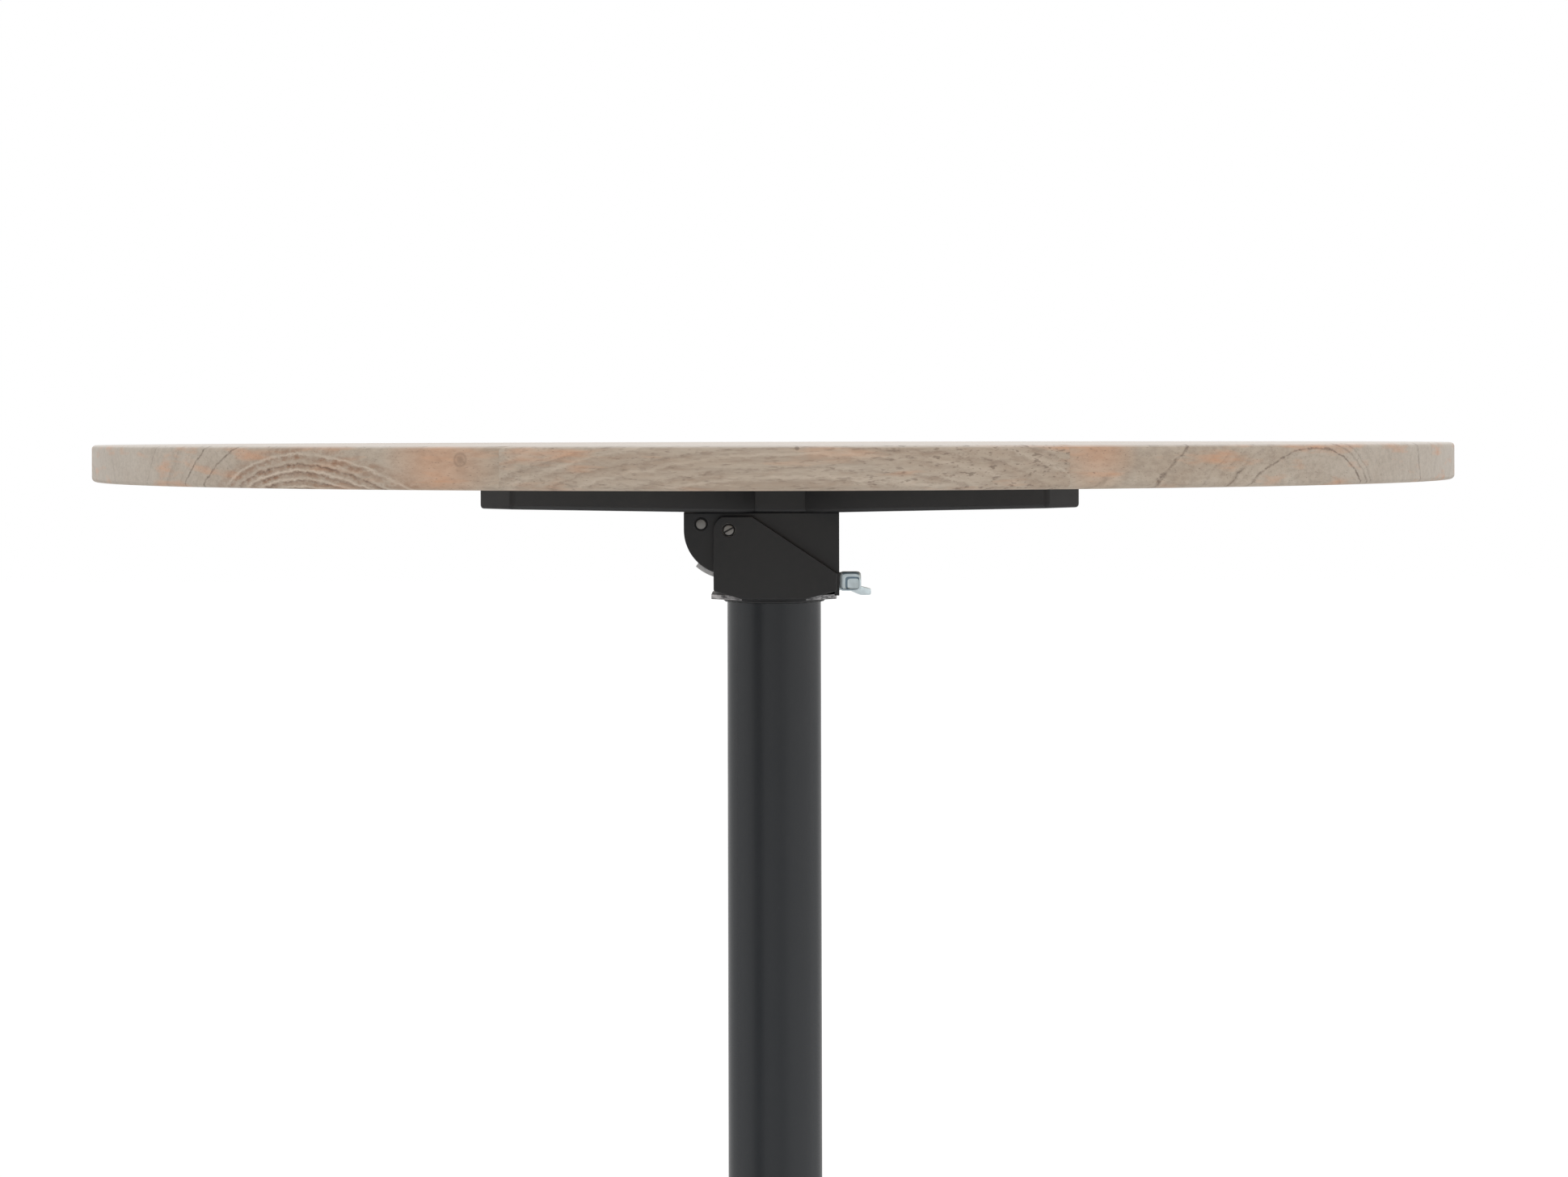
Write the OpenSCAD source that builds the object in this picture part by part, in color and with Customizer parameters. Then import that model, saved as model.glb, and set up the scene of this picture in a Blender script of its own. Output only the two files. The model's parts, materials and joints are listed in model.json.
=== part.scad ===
// Round pedestal table whose top folds from level to upright.
// Millimetres, +Z up, origin on the floor under the column's axis.
// The tilt axis runs along Y, and the wing screw points along +X.

/* [Tabletop] */
// Height of the top surface above the floor
table_height = 750; // [700:5:1110]
// Diameter of the round top
top_diameter = 850; // [760:5:1000]
// Thickness of the planks
top_thickness = 22; // [18:1:30]
// Radius that rounds the rim above and below
edge_round = 2.5; // [1:0.5:4]
// Depth of the narrow plank at the front rim
front_strip = 24; // [15:1:60]
// Depth of the narrow plank at the back rim
back_strip = 50; // [20:1:80]
// Turn of the planks against the tilt axis
plank_turn = 1; // [-3:0.5:3]

/* [Support cross] */
// Distance from the cross centre to an arm's end
cross_reach = 234; // [180:1:300]
// Width of a cross arm
cross_arm_width = 31; // [26:1:40]
// Depth of the cross below the planks at its centre
cross_depth = 21.5; // [18:0.5:30]
// Depth of a cross arm at its end
cross_tip_depth = 15.5; // [12:0.5:18]
// Distance from the cross centre at which the arms begin to taper
cross_taper_start = 50; // [42:1:80]
// Width of the cross hub between its front and back faces
cross_hub_width = 76; // [72:1:90]
// How far the cross sits towards the wing screw
cross_shift = 4; // [0:1:8]
// Sheet thickness of the cross
cross_sheet = 2.5; // [1.5:0.5:3]
// Distances of the two bolts in each arm from the cross centre
bolt_near = 95; // [70:1:120]
bolt_far = 200; // [140:1:215]

/* [Tilt head] */
// Sheet thickness of the upper yoke and the lower cheeks
head_sheet = 3; // [2:0.5:4]
// Depth of the upper yoke over its cheeks, along the tilt axis
yoke_depth = 70; // [60:1:80]
// Reach of the upper yoke from the column's axis, on the hinge side
yoke_left = 56.8; // [50:0.2:64]
// Reach of the upper yoke from the column's axis, on the screw side
yoke_right = 41.3; // [36:0.1:46]
// Distance of the tilt axis from the column's axis
pivot_offset = 28.4; // [22:0.2:34]
// Depth of the tilt axis below the cross
pivot_drop = 11; // [9:0.5:14]
// Depth of the yoke's lower edge below the tilt axis
yoke_skirt = 27.1; // [24:0.1:28]
// Gap between a yoke cheek and a lower cheek
cheek_gap = 1; // [0.6:0.1:2]
// Reach of the lower cheeks from the column's axis, on the hinge side
cheek_left = 38; // [34:0.5:40]
// Reach of the lower cheeks from the column's axis, on the screw side
cheek_right = 39.8; // [36:0.1:42]
// Height of the lower cheeks above the tilt axis
cheek_rise = 8.6; // [6:0.2:9]
// Length of the flat top of a lower cheek, from the tilt axis
cheek_flat = 14.8; // [10:0.2:24]
// Thickness of the head plate on the column
head_plate_sheet = 4; // [3:0.5:6]
// Width of the head plate along X
head_plate_width = 80; // [76:1:90]
// Corner cut of the head plate
head_plate_cut = 19.7; // [12:0.1:24]
// Depth of the head plate's top below the tilt axis
head_plate_drop = 41.6; // [40:0.2:48]
// Reach of the slanted lower edge of a cheek above its flat bottom
cheek_chamfer = 5.1; // [3:0.1:8]

/* [Pins] */
// Diameter of the pivot pin and the stop pin
pin_diameter = 8; // [6:0.5:8.5]
// Chamfer on the pin ends
pin_chamfer = 0.7; // [0.3:0.1:1]
// Distance of the stop pin from the tilt axis along X
stop_pin_back = 17.5; // [15:0.1:19]
// Height of the stop pin above the tilt axis
stop_pin_rise = 3.6; // [1:0.1:3.6]
// Outside diameter of the pivot bush
bush_diameter = 10; // [9.5:0.5:12]
// Flange diameter of the pivot bush
bush_flange = 15; // [13:0.5:18]

/* [Clamp] */
// Depth of the wing screw's axis below the tilt axis
screw_drop = 34.4; // [33:0.1:36]
// Diameter of the wing screw's thread
screw_diameter = 8; // [6:0.5:8]
// Rise of the thread in one turn
screw_pitch = 1.25; // [1:0.25:1.5]
// Outer radius of the drum around the tilt axis
drum_radius = 31.2; // [30:0.1:32]
// Wall of the drum
drum_wall = 3.8; // [3:0.1:5]
// Width of the clamp shoe along the tilt axis
shoe_width = 28; // [20:1:32]
// Diameter of the wing screw's hub
hub_diameter = 12.66; // [11:0.1:13]
// Length of the wing screw's hub
hub_length = 12.8; // [10:0.1:16]
// Distance from the screw's axis to a wing's tip
wing_reach = 17; // [14:0.5:20]
// Turn of the wings at rest
wing_turn = 14; // [0:1:90]

/* [Column] */
// Outside diameter of the column tube
column_diameter = 60.3; // [50:0.1:64]
// Wall of the column tube
column_wall = 3; // [2:0.5:4]
// Height of the threaded plug in the foot of the column
plug_height = 14; // [10:1:24]
// Diameter of the bolt that holds the column on its base
column_bolt_diameter = 12; // [10:1:14]

/* [Base] */
// Distance from the column's axis to the end of a base arm
base_reach = 310; // [260:5:380]
// Width of a base arm
base_arm_width = 46; // [36:1:48]
// Height of a base arm at the column
base_root_height = 46; // [36:1:56]
// Height of a base arm at its end
base_tip_height = 27; // [25:1:34]
// Sheet thickness of a base arm
base_sheet = 3; // [2:0.5:4]
// Clearance between the base arms and the floor
base_clearance = 12; // [10:1:16]
// Wall of the socket that holds the column
socket_wall = 4.65; // [3:0.05:8]
// Height of the socket
socket_height = 60; // [50:1:90]
// Thickness of the floor in the socket
socket_floor = 8; // [5:1:12]
// Distance of a glide from the end of its base arm
glide_inset = 25; // [20:1:60]
// Diameter of a glide's pad
glide_diameter = 30; // [22:1:40]
// Height of a glide's pad
glide_height = 6; // [4:0.5:9]

/* [Hidden] */
$fn = 96;

WOOD = "burlywood";
COAT = "dimgray";
ZINC = "silver";
NYLON = "whitesmoke";

// Small lengths used for cuts and running gaps
over = 1;
slack = 0.3;
running = 0.05;

// Shares of a bolt's radius: a hexagon's corners, and a washer's rim
hex_share = 1.9;
washer_share = 2;
hex_sides = 6;

// Tabletop
top_radius = top_diameter / 2;
full_planks = 4;
plank_width = (top_diameter - front_strip - back_strip) / full_planks;
wood_bottom = table_height - top_thickness;
rim_steps = 6;
arms = 4;

// Heights of the tilt head
cross_bottom = wood_bottom - cross_depth;
pivot_z = cross_bottom - pivot_drop;
arm_root = (cross_hub_width - cross_arm_width / sqrt(2)) / sqrt(2);
yoke_inside = yoke_depth / 2 - head_sheet;
cheek_inside = yoke_depth / 2 + cheek_gap;
cheek_outside = cheek_inside + head_sheet;
yoke_roof = pivot_drop - head_sheet;
left_edge = pivot_offset - cheek_left;
right_edge = pivot_offset + cheek_right;
end_face = pivot_offset + yoke_right;
end_inside = end_face - head_sheet;
arc_radius = yoke_left - pivot_offset;
cheek_bottom = head_plate_drop + head_plate_sheet / 2;
head_bottom = head_plate_drop + head_plate_sheet;
pin_radius = pin_diameter / 2;
clip_lip = 2.5;
clip_radius = pin_radius + clip_lip;
clip_depth = 0.8;
clip_sheet = 1;
clip_face = yoke_inside - clip_sheet - slack / 2;

// Bolts through the hub and the arms
bolt_radius = 3;
bolt_head_radius = 5.2;
sink_depth = 2.2;
yoke_head_height = 3.6;
key_radius = 2.3;
key_depth = 2;
nut_radius = hex_share * bolt_radius;
nut_height = 5;
yoke_bolt_margin = 17;
yoke_bolt_place = cross_hub_width / 2 - yoke_bolt_margin;
sleeve_radius = 5.5;
insert_radius = 4.5;
insert_length = 13;

// Drum, shoe and stop
drum_start = 228;
drum_end = 340;
stop_gap = 0.2;
stop_face = pin_radius - stop_pin_rise + stop_gap;
stop_top = 13;
lug_inner = 19;
lug_outer = 27;
shoe_left = 8;
shoe_right = 46;
shoe_shoulder = 33;
shoe_top = 18;
pocket_depth = 4;
screw_radius = screw_diameter / 2;
weld_nut_radius = hex_share * screw_radius;
weld_nut_height = 6.5;
neck_radius = 5.85;
neck_length = 1.7;
neck_start = end_face + slack;
hub_start = neck_start + neck_length;
hub_end = hub_start + hub_length;

// Column and base
column_radius = column_diameter / 2;
column_bore = column_radius - column_wall;
socket_lift = 2;
socket_gap = 0.2;
socket_bottom = base_clearance + socket_lift;
socket_top = socket_bottom + socket_height;
socket_bore = column_radius + socket_gap;
socket_radius = socket_bore + socket_wall;
column_bottom = socket_bottom + socket_floor;
column_top = pivot_z - head_bottom;
column_bolt_radius = column_bolt_diameter / 2;
washer_height = 2.5;
bolt_hex_height = 7.5;
collar_height = 6;
weld_leg = 4;
stem_radius = 4;
stem_hex_radius = hex_share * stem_radius;
glide_seat = 3;
glide_collar_radius = 8;
glide_collar_height = 4;
glide_nut_height = 12;
glide_reach = base_reach - glide_inset;
glide_top = base_clearance + base_root_height
    - (base_root_height - base_tip_height) * (glide_reach - socket_radius)
    / (base_reach - socket_radius) - base_sheet;

// Direction of an arm of the cross or the base, counted from 1
function arm_turn(i) = 90 * i - 45;

// Depth of the cross below the planks, at a distance from its centre
function cross_depth_at(u) =
    u < cross_taper_start ? cross_depth
    : cross_depth - (cross_depth - cross_tip_depth)
      * (u - cross_taper_start) / (cross_reach - cross_taper_start);

// Lines between the planks, counted from the front rim
function seam(i) =
    i <= 0 ? -top_radius - over
    : i > full_planks + 1 ? top_radius + over
    : -top_radius + front_strip + (i - 1) * plank_width;

// Points of a quarter circle that rounds the rim
function rim_arc(cx, cz, from) =
    [for (k = [0:rim_steps])
        [cx + edge_round * cos(from + 90 * k / rim_steps),
         cz + edge_round * sin(from + 90 * k / rim_steps)]];

// A cylinder along Y, from one distance to another
module rod_y(r, from, to) {
    translate([0, to, 0])
        rotate([90, 0, 0])
            cylinder(r = r, h = to - from);
}

// A cylinder along X, from one distance to another
module rod_x(r, from, to) {
    translate([from, 0, 0])
        rotate([0, 90, 0])
            cylinder(r = r, h = to - from);
}

// A pin along Y with both ends chamfered
module chamfered_pin(r, half) {
    rod_y(r, -half + pin_chamfer, half - pin_chamfer);
    for (side = [0, 180])
        rotate([0, 0, side])
            translate([0, -half + pin_chamfer, 0])
                rotate([90, 0, 0])
                    cylinder(r1 = r, r2 = r - pin_chamfer, h = pin_chamfer);
}

// A plate outlined in X and Z, from one distance along Y to another
module plate_y(from, to) {
    translate([0, to, 0])
        rotate([90, 0, 0])
            linear_extrude(to - from)
                children();
}

// Places children at the tilt axis
module at_pivot() {
    translate([-pivot_offset, 0, pivot_z])
        children();
}

// Places children along an arm of the cross, under the planks
module at_cross_arm(i) {
    translate([cross_shift, 0, wood_bottom])
        rotate(arm_turn(i))
            children();
}

// Places children at each bolt of the cross, where it enters the planks
module at_arm_bolts() {
    for (i = [1:arms])
        for (u = [bolt_near, bolt_far])
            at_cross_arm(i)
                translate([u, 0, 0])
                    children();
}

// The whole round top with its rounded rim
module rim_disc() {
    translate([0, 0, wood_bottom])
        rotate_extrude($fn = 180)
            polygon(concat(
                [[0, top_thickness], [0, 0]],
                rim_arc(top_radius - edge_round, edge_round, -90),
                rim_arc(top_radius - edge_round, top_thickness - edge_round, 0)));
}

module plank(i) {
    color(WOOD)
        difference() {
            intersection() {
                rim_disc();
                rotate(plank_turn)
                    translate([-top_diameter, seam(i - 1), wood_bottom - over])
                        cube([2 * top_diameter, seam(i) - seam(i - 1), top_thickness + 2 * over]);
            }
            at_arm_bolts()
                translate([0, 0, -over])
                    cylinder(r = insert_radius, h = insert_length + over);
        }
}

// Outline of the hub, or of the hollow inside it
module hub_outline(inset) {
    half = cross_hub_width / 2 - inset;
    flat = (cross_hub_width - cross_arm_width * sqrt(2)) / 2 - inset * (sqrt(2) - 1);
    polygon([
        [half, -flat], [half, flat], [flat, half], [-flat, half],
        [-half, flat], [-half, -flat], [-flat, -half], [flat, -half]]);
}

// Places children at each bolt that holds the yoke under the hub
module at_yoke_bolts() {
    for (x = [-1, 1])
        for (y = [-1, 1])
            translate([cross_shift + x * yoke_bolt_place, y * yoke_bolt_place, cross_bottom])
                children();
}

module cross_hub() {
    color(COAT)
        difference() {
            translate([cross_shift, 0, cross_bottom])
                linear_extrude(cross_depth)
                    hub_outline(0);
            translate([cross_shift, 0, cross_bottom + head_sheet])
                linear_extrude(cross_depth)
                    hub_outline(cross_sheet);
            at_yoke_bolts()
                translate([0, 0, -over])
                    cylinder(r = bolt_radius + slack, h = head_sheet + 2 * over);
        }
}

// Side outline of an arm, inset by the sheet for its hollow
module arm_side(inset) {
    above = inset > 0 ? over : 0;
    polygon([
        [arm_root - above, above],
        [cross_reach - inset, above],
        [cross_reach - inset, -cross_tip_depth + inset],
        [cross_taper_start, -cross_depth + inset],
        [arm_root - above, -cross_depth + inset]]);
}

// Plan of an arm, with its two outer corners rounded
module arm_plan() {
    corner = 3;
    half = cross_arm_width / 2;
    translate([arm_root, -half])
        square([cross_reach - arm_root - corner, cross_arm_width]);
    translate([arm_root, -half + corner])
        square([cross_reach - arm_root, cross_arm_width - 2 * corner]);
    for (y = [-1, 1])
        translate([cross_reach - corner, y * (half - corner)])
            circle(corner);
}

module arm_hollow() {
    half = cross_arm_width / 2 - cross_sheet;
    plate_y(-half, half)
        arm_side(cross_sheet);
}

module cross_arm(i) {
    color(COAT)
        at_cross_arm(i)
            difference() {
                intersection() {
                    plate_y(-cross_arm_width / 2, cross_arm_width / 2)
                        arm_side(0);
                    translate([0, 0, -cross_depth - over])
                        linear_extrude(cross_depth + 2 * over)
                            arm_plan();
                }
                arm_hollow();
                for (u = [bolt_near, bolt_far])
                    translate([u, 0, -cross_depth_at(u + bolt_head_radius)]) {
                        translate([0, 0, -cross_sheet])
                            cylinder(r = bolt_head_radius + running, h = cross_sheet);
                        cylinder(r1 = bolt_head_radius + running, r2 = bolt_radius + running, h = sink_depth);
                        cylinder(r = bolt_radius + running, h = cross_depth);
                    }
            }
}

// Countersunk bolt, from the face of its head up to its end
module sunk_bolt(length) {
    difference() {
        union() {
            cylinder(r = bolt_radius, h = length);
            cylinder(r1 = bolt_head_radius, r2 = bolt_radius, h = sink_depth);
        }
        translate([0, 0, -over])
            cylinder(r = key_radius, h = key_depth + over, $fn = hex_sides);
    }
}

module top_bolts() {
    color(ZINC)
        for (i = [1:arms])
            for (u = [bolt_near, bolt_far])
                at_cross_arm(i)
                    translate([u, 0, -cross_depth_at(u + bolt_head_radius)])
                        sunk_bolt(cross_depth_at(u + bolt_head_radius) + insert_length - over);
}

module bolt_sleeves() {
    color(ZINC)
        for (i = [1:arms])
            at_cross_arm(i)
                intersection() {
                    for (u = [bolt_near, bolt_far])
                        translate([u, 0, -cross_depth])
                            difference() {
                                cylinder(r = sleeve_radius, h = cross_depth);
                                translate([0, 0, -over])
                                    cylinder(r = bolt_radius + slack, h = cross_depth + 2 * over);
                            }
                    arm_hollow();
                }
}

module top_inserts() {
    color(ZINC)
        at_arm_bolts()
            difference() {
                cylinder(r = insert_radius, h = insert_length);
                translate([0, 0, -over])
                    cylinder(r = bolt_radius + running, h = insert_length + 2 * over);
            }
}

// Side outline of a yoke cheek around the tilt axis
module yoke_side() {
    intersection() {
        circle(arc_radius);
        translate([-arc_radius, -arc_radius])
            square([arc_radius, arc_radius]);
    }
    translate([-arc_radius, 0])
        square([arc_radius, pivot_drop]);
    translate([0, -yoke_skirt])
        square([end_face, yoke_skirt + pivot_drop]);
}

module upper_yoke() {
    color(COAT)
        difference() {
            at_pivot()
                difference() {
                    plate_y(-yoke_depth / 2, yoke_depth / 2)
                        yoke_side();
                    translate([-arc_radius - over, -yoke_inside, -arc_radius - over])
                        cube([arc_radius + end_face + 2 * over, 2 * yoke_inside, arc_radius + over + yoke_roof]);
                    rod_y(bush_diameter / 2, -yoke_depth, yoke_depth);
                    translate([-stop_pin_back, 0, stop_pin_rise])
                        rod_y(pin_radius, -yoke_depth, yoke_depth);
                }
            at_yoke_bolts()
                translate([0, 0, -head_sheet - over])
                    cylinder(r = bolt_radius + slack, h = head_sheet + 2 * over);
        }
}

module end_plate() {
    color(COAT)
        at_pivot()
            translate([end_inside, -yoke_inside, -yoke_skirt])
                cube([head_sheet, 2 * yoke_inside, yoke_skirt + yoke_roof]);
}

// Wedge from the tilt axis that bounds the drum
module drum_sector() {
    corners = 4;
    far = 2 * drum_radius;
    step = (drum_end - drum_start) / corners;
    polygon(concat(
        [[0, 0]],
        [for (k = [0:corners]) [far * cos(drum_start + k * step), far * sin(drum_start + k * step)]]));
}

module clamp_drum() {
    color(COAT)
        at_pivot()
            difference() {
                plate_y(-yoke_inside, yoke_inside)
                    intersection() {
                        difference() {
                            circle(drum_radius);
                            circle(drum_radius - drum_wall);
                        }
                        drum_sector();
                    }
                for (y = [lug_inner, -lug_outer])
                    translate([-drum_radius, y - over / 2, -drum_radius - over])
                        cube([
                            drum_radius + stop_face + head_sheet + over / 2,
                            lug_outer - lug_inner + over,
                            drum_radius]);
            }
}

module stop_pin() {
    color(ZINC)
        at_pivot()
            translate([-stop_pin_back, 0, stop_pin_rise])
                chamfered_pin(pin_radius, yoke_depth / 2);
}

module pivot_bushes() {
    color(NYLON)
        at_pivot()
            for (side = [0, 180])
                rotate([0, 0, side])
                    difference() {
                        union() {
                            rod_y(bush_diameter / 2, yoke_inside, yoke_depth / 2 + running);
                            rod_y(bush_flange / 2, yoke_depth / 2, cheek_inside - slack / 2);
                        }
                        rod_y(pin_radius + running, yoke_inside - over, cheek_outside);
                    }
}

module yoke_bolts() {
    color(ZINC)
        at_yoke_bolts() {
            translate([0, 0, head_sheet])
                cylinder(r = nut_radius, h = yoke_head_height, $fn = hex_sides);
            translate([0, 0, -head_sheet - nut_height])
                cylinder(r = bolt_radius, h = 2 * head_sheet + nut_height);
        }
}

module yoke_nuts() {
    color(ZINC)
        at_yoke_bolts()
            translate([0, 0, -head_sheet - nut_height])
                difference() {
                    cylinder(r = nut_radius, h = nut_height, $fn = hex_sides);
                    translate([0, 0, -over])
                        cylinder(r = bolt_radius + running, h = nut_height + 2 * over);
                }
}

module pivot_pin() {
    slot_width = 0.9;
    slot_depth = 1.2;
    slot_turn = 15;
    color(ZINC)
        at_pivot()
            difference() {
                chamfered_pin(pin_radius, cheek_outside);
                for (side = [0, 180])
                    rotate([0, 0, side]) {
                        difference() {
                            rod_y(pin_radius + over, clip_face, clip_face + clip_sheet);
                            rod_y(pin_radius - clip_depth, clip_face - over, clip_face + clip_sheet + over);
                        }
                        translate([0, cheek_outside, 0])
                            rotate([0, slot_turn, 0])
                                cube([2 * pin_diameter, 2 * slot_depth, slot_width], center = true);
                    }
            }
}

module pivot_clips() {
    color(ZINC)
        at_pivot()
            for (side = [0, 180])
                rotate([0, 0, side])
                    difference() {
                        rod_y(clip_radius, clip_face + running, clip_face + clip_sheet - running);
                        rod_y(pin_radius - clip_depth, clip_face - over, clip_face + clip_sheet + over);
                        translate([-pin_radius + clip_depth, clip_face - over, -clip_radius - over])
                            cube([2 * (pin_radius - clip_depth), clip_sheet + 2 * over, clip_radius + over]);
                    }
}

// Side outline of a lower cheek around the tilt axis
module cheek_side() {
    bottom_left = pivot_offset - head_plate_width / 2 + head_plate_cut;
    bottom_right = pivot_offset + head_plate_width / 2 - head_plate_cut;
    intersection() {
        circle(-left_edge);
        translate([left_edge, left_edge])
            square([-left_edge, cheek_rise - left_edge]);
    }
    polygon([
        [left_edge, 0],
        [left_edge, -cheek_bottom + cheek_chamfer],
        [bottom_left, -cheek_bottom],
        [bottom_right, -cheek_bottom],
        [right_edge, -cheek_bottom + cheek_chamfer],
        [right_edge, -yoke_skirt],
        [cheek_flat, cheek_rise],
        [0, cheek_rise],
        [0, 0]]);
}

module lower_cheek(side) {
    color(COAT)
        at_pivot()
            difference() {
                plate_y(side < 0 ? -cheek_outside : cheek_inside, side < 0 ? -cheek_inside : cheek_outside)
                    cheek_side();
                rod_y(pin_radius + running, -cheek_outside - over, cheek_outside + over);
            }
}

module head_plate() {
    half = head_plate_width / 2;
    flat = half - head_plate_cut;
    side = cheek_inside - head_plate_cut;
    color(COAT)
        translate([0, 0, column_top])
            linear_extrude(head_plate_sheet)
                polygon([
                    [half, -side], [half, side], [flat, cheek_inside], [-flat, cheek_inside],
                    [-half, side], [-half, -side], [-flat, -cheek_inside], [flat, -cheek_inside]]);
}

module screw_plate() {
    color(COAT)
        at_pivot()
            difference() {
                translate([end_inside, -cheek_inside, -head_plate_drop])
                    cube([head_sheet, 2 * cheek_inside, head_plate_drop - yoke_skirt]);
                translate([0, 0, -screw_drop])
                    rod_x(screw_radius + slack, end_inside - over, end_face + over);
            }
}

module weld_nut() {
    flat_side_down = 30;
    color(ZINC)
        at_pivot()
            translate([end_inside - weld_nut_height, 0, -screw_drop])
                rotate([0, 90, 0])
                    difference() {
                        rotate(flat_side_down)
                            cylinder(r = weld_nut_radius, h = weld_nut_height, $fn = hex_sides);
                        translate([0, 0, -over])
                            cylinder(r = screw_radius + running, h = weld_nut_height + 2 * over);
                    }
}

// Upright plate whose two lugs catch the stop pin
module stop_plate() {
    color(COAT)
        at_pivot()
            difference() {
                translate([stop_face, -lug_outer, -head_plate_drop])
                    cube([head_sheet, 2 * lug_outer, head_plate_drop - stop_top]);
                translate([stop_face - over, -lug_inner, -drum_radius - over])
                    cube([head_sheet + 2 * over, 2 * lug_inner, drum_radius + over]);
            }
}

// Block that the wing screw pushes against the drum
module clamp_shoe() {
    color(ZINC)
        at_pivot()
            difference() {
                plate_y(-shoe_width / 2, shoe_width / 2)
                    difference() {
                        polygon([
                            [shoe_left, -head_plate_drop + slack],
                            [shoe_right, -head_plate_drop + slack],
                            [shoe_right, -screw_drop + weld_nut_radius],
                            [shoe_shoulder, -shoe_top],
                            [shoe_left, -shoe_top]]);
                        circle(drum_radius + slack);
                    }
                translate([0, 0, -screw_drop])
                    rod_x(screw_radius + slack, shoe_right - pocket_depth, shoe_right + over);
            }
}

// One wing, from the hub out to its broad tip
module wing() {
    root = 3;
    root_place = 5.1;
    tip = 3.6;
    tip_place = 9.6;
    facets = 32;
    hull() {
        translate([hub_start + root_place, hub_diameter / 2 - root, 0])
            sphere(root, $fn = facets);
        translate([hub_start + tip_place, wing_reach - tip, 0])
            sphere(tip, $fn = facets);
    }
}

module wing_screw() {
    tip = shoe_right - pocket_depth + slack;
    color(ZINC)
        at_pivot()
            translate([0, 0, -screw_drop])
                rotate([-wing_turn, 0, 0]) {
                    rod_x(screw_radius, tip, neck_start + running);
                    rod_x(neck_radius, neck_start, hub_start + running);
                    rod_x(hub_diameter / 2, hub_start, hub_end - over);
                    translate([hub_end - over, 0, 0])
                        rotate([0, 90, 0])
                            cylinder(r1 = hub_diameter / 2, r2 = hub_diameter / 2 - over, h = over);
                    wing();
                    mirror([0, 1, 0])
                        wing();
                }
}

module column_tube() {
    color(COAT)
        translate([0, 0, column_bottom])
            difference() {
                cylinder(r = column_radius, h = column_top - column_bottom);
                translate([0, 0, -over])
                    cylinder(r = column_bore, h = column_top - column_bottom + 2 * over);
            }
}

module head_weld() {
    color(COAT)
        translate([0, 0, column_top - weld_leg])
            difference() {
                cylinder(r1 = column_radius, r2 = column_radius + weld_leg, h = weld_leg);
                translate([0, 0, -over])
                    cylinder(r = column_radius, h = weld_leg + 2 * over);
            }
}

module column_plug() {
    color(ZINC)
        translate([0, 0, column_bottom])
            difference() {
                cylinder(r = column_bore, h = plug_height);
                translate([0, 0, -over])
                    cylinder(r = column_bolt_radius + running, h = plug_height + 2 * over);
            }
}

module column_bolt() {
    color(ZINC)
        translate([0, 0, socket_bottom - washer_height]) {
            translate([0, 0, -bolt_hex_height])
                cylinder(r = hex_share * column_bolt_radius, h = bolt_hex_height, $fn = hex_sides);
            cylinder(r = column_bolt_radius, h = washer_height + socket_floor + plug_height + over);
        }
}

module column_washer() {
    color(ZINC)
        translate([0, 0, socket_bottom - washer_height])
            difference() {
                cylinder(r = washer_share * column_bolt_radius, h = washer_height);
                translate([0, 0, -over])
                    cylinder(r = column_bolt_radius + slack, h = washer_height + 2 * over);
            }
}

module base_socket() {
    color(COAT)
        translate([0, 0, socket_bottom])
            difference() {
                cylinder(r = socket_radius, h = socket_height);
                translate([0, 0, -over])
                    cylinder(r = socket_bore, h = socket_height + 2 * over);
            }
}

module socket_plate() {
    color(COAT)
        translate([0, 0, socket_bottom])
            difference() {
                cylinder(r = socket_bore, h = socket_floor);
                translate([0, 0, -over])
                    cylinder(r = column_bolt_radius + slack, h = socket_floor + 2 * over);
            }
}

module column_collar() {
    lip = 2;
    color(COAT)
        translate([0, 0, socket_top])
            difference() {
                union() {
                    cylinder(r = socket_radius + lip, h = collar_height - lip);
                    translate([0, 0, collar_height - lip])
                        cylinder(r1 = socket_radius + lip, r2 = socket_radius, h = lip);
                }
                translate([0, 0, -over])
                    cylinder(r = column_radius + slack, h = collar_height + 2 * over);
            }
}

// Side outline of a base arm, inset by the sheet for its hollow
module base_arm_side(inset) {
    below = inset > 0 ? over : 0;
    bottom = base_clearance - below;
    polygon([
        [0, bottom],
        [base_reach - inset, bottom],
        [base_reach - inset, base_clearance + base_tip_height - inset],
        [socket_radius, base_clearance + base_root_height - inset],
        [0, base_clearance + base_root_height - inset]]);
}

// Plan of a base arm, with its two outer corners rounded
module base_arm_plan() {
    corner = 6;
    half = base_arm_width / 2;
    translate([0, -half])
        square([base_reach - corner, base_arm_width]);
    translate([0, -half + corner])
        square([base_reach, base_arm_width - 2 * corner]);
    for (y = [-1, 1])
        translate([base_reach - corner, y * (half - corner)])
            circle(corner);
}

module base_arm_hollow() {
    half = base_arm_width / 2 - base_sheet;
    plate_y(-half, half)
        base_arm_side(base_sheet);
}

module base_arm(i) {
    color(COAT)
        rotate(arm_turn(i))
            difference() {
                intersection() {
                    plate_y(-base_arm_width / 2, base_arm_width / 2)
                        base_arm_side(0);
                    linear_extrude(base_clearance + base_root_height + over)
                        base_arm_plan();
                }
                base_arm_hollow();
                cylinder(r = socket_radius, h = base_clearance + base_root_height + over);
            }
}

// Places children on the floor under the end of a base arm
module at_glide(i) {
    rotate(arm_turn(i))
        translate([glide_reach, 0, 0])
            children();
}

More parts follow.
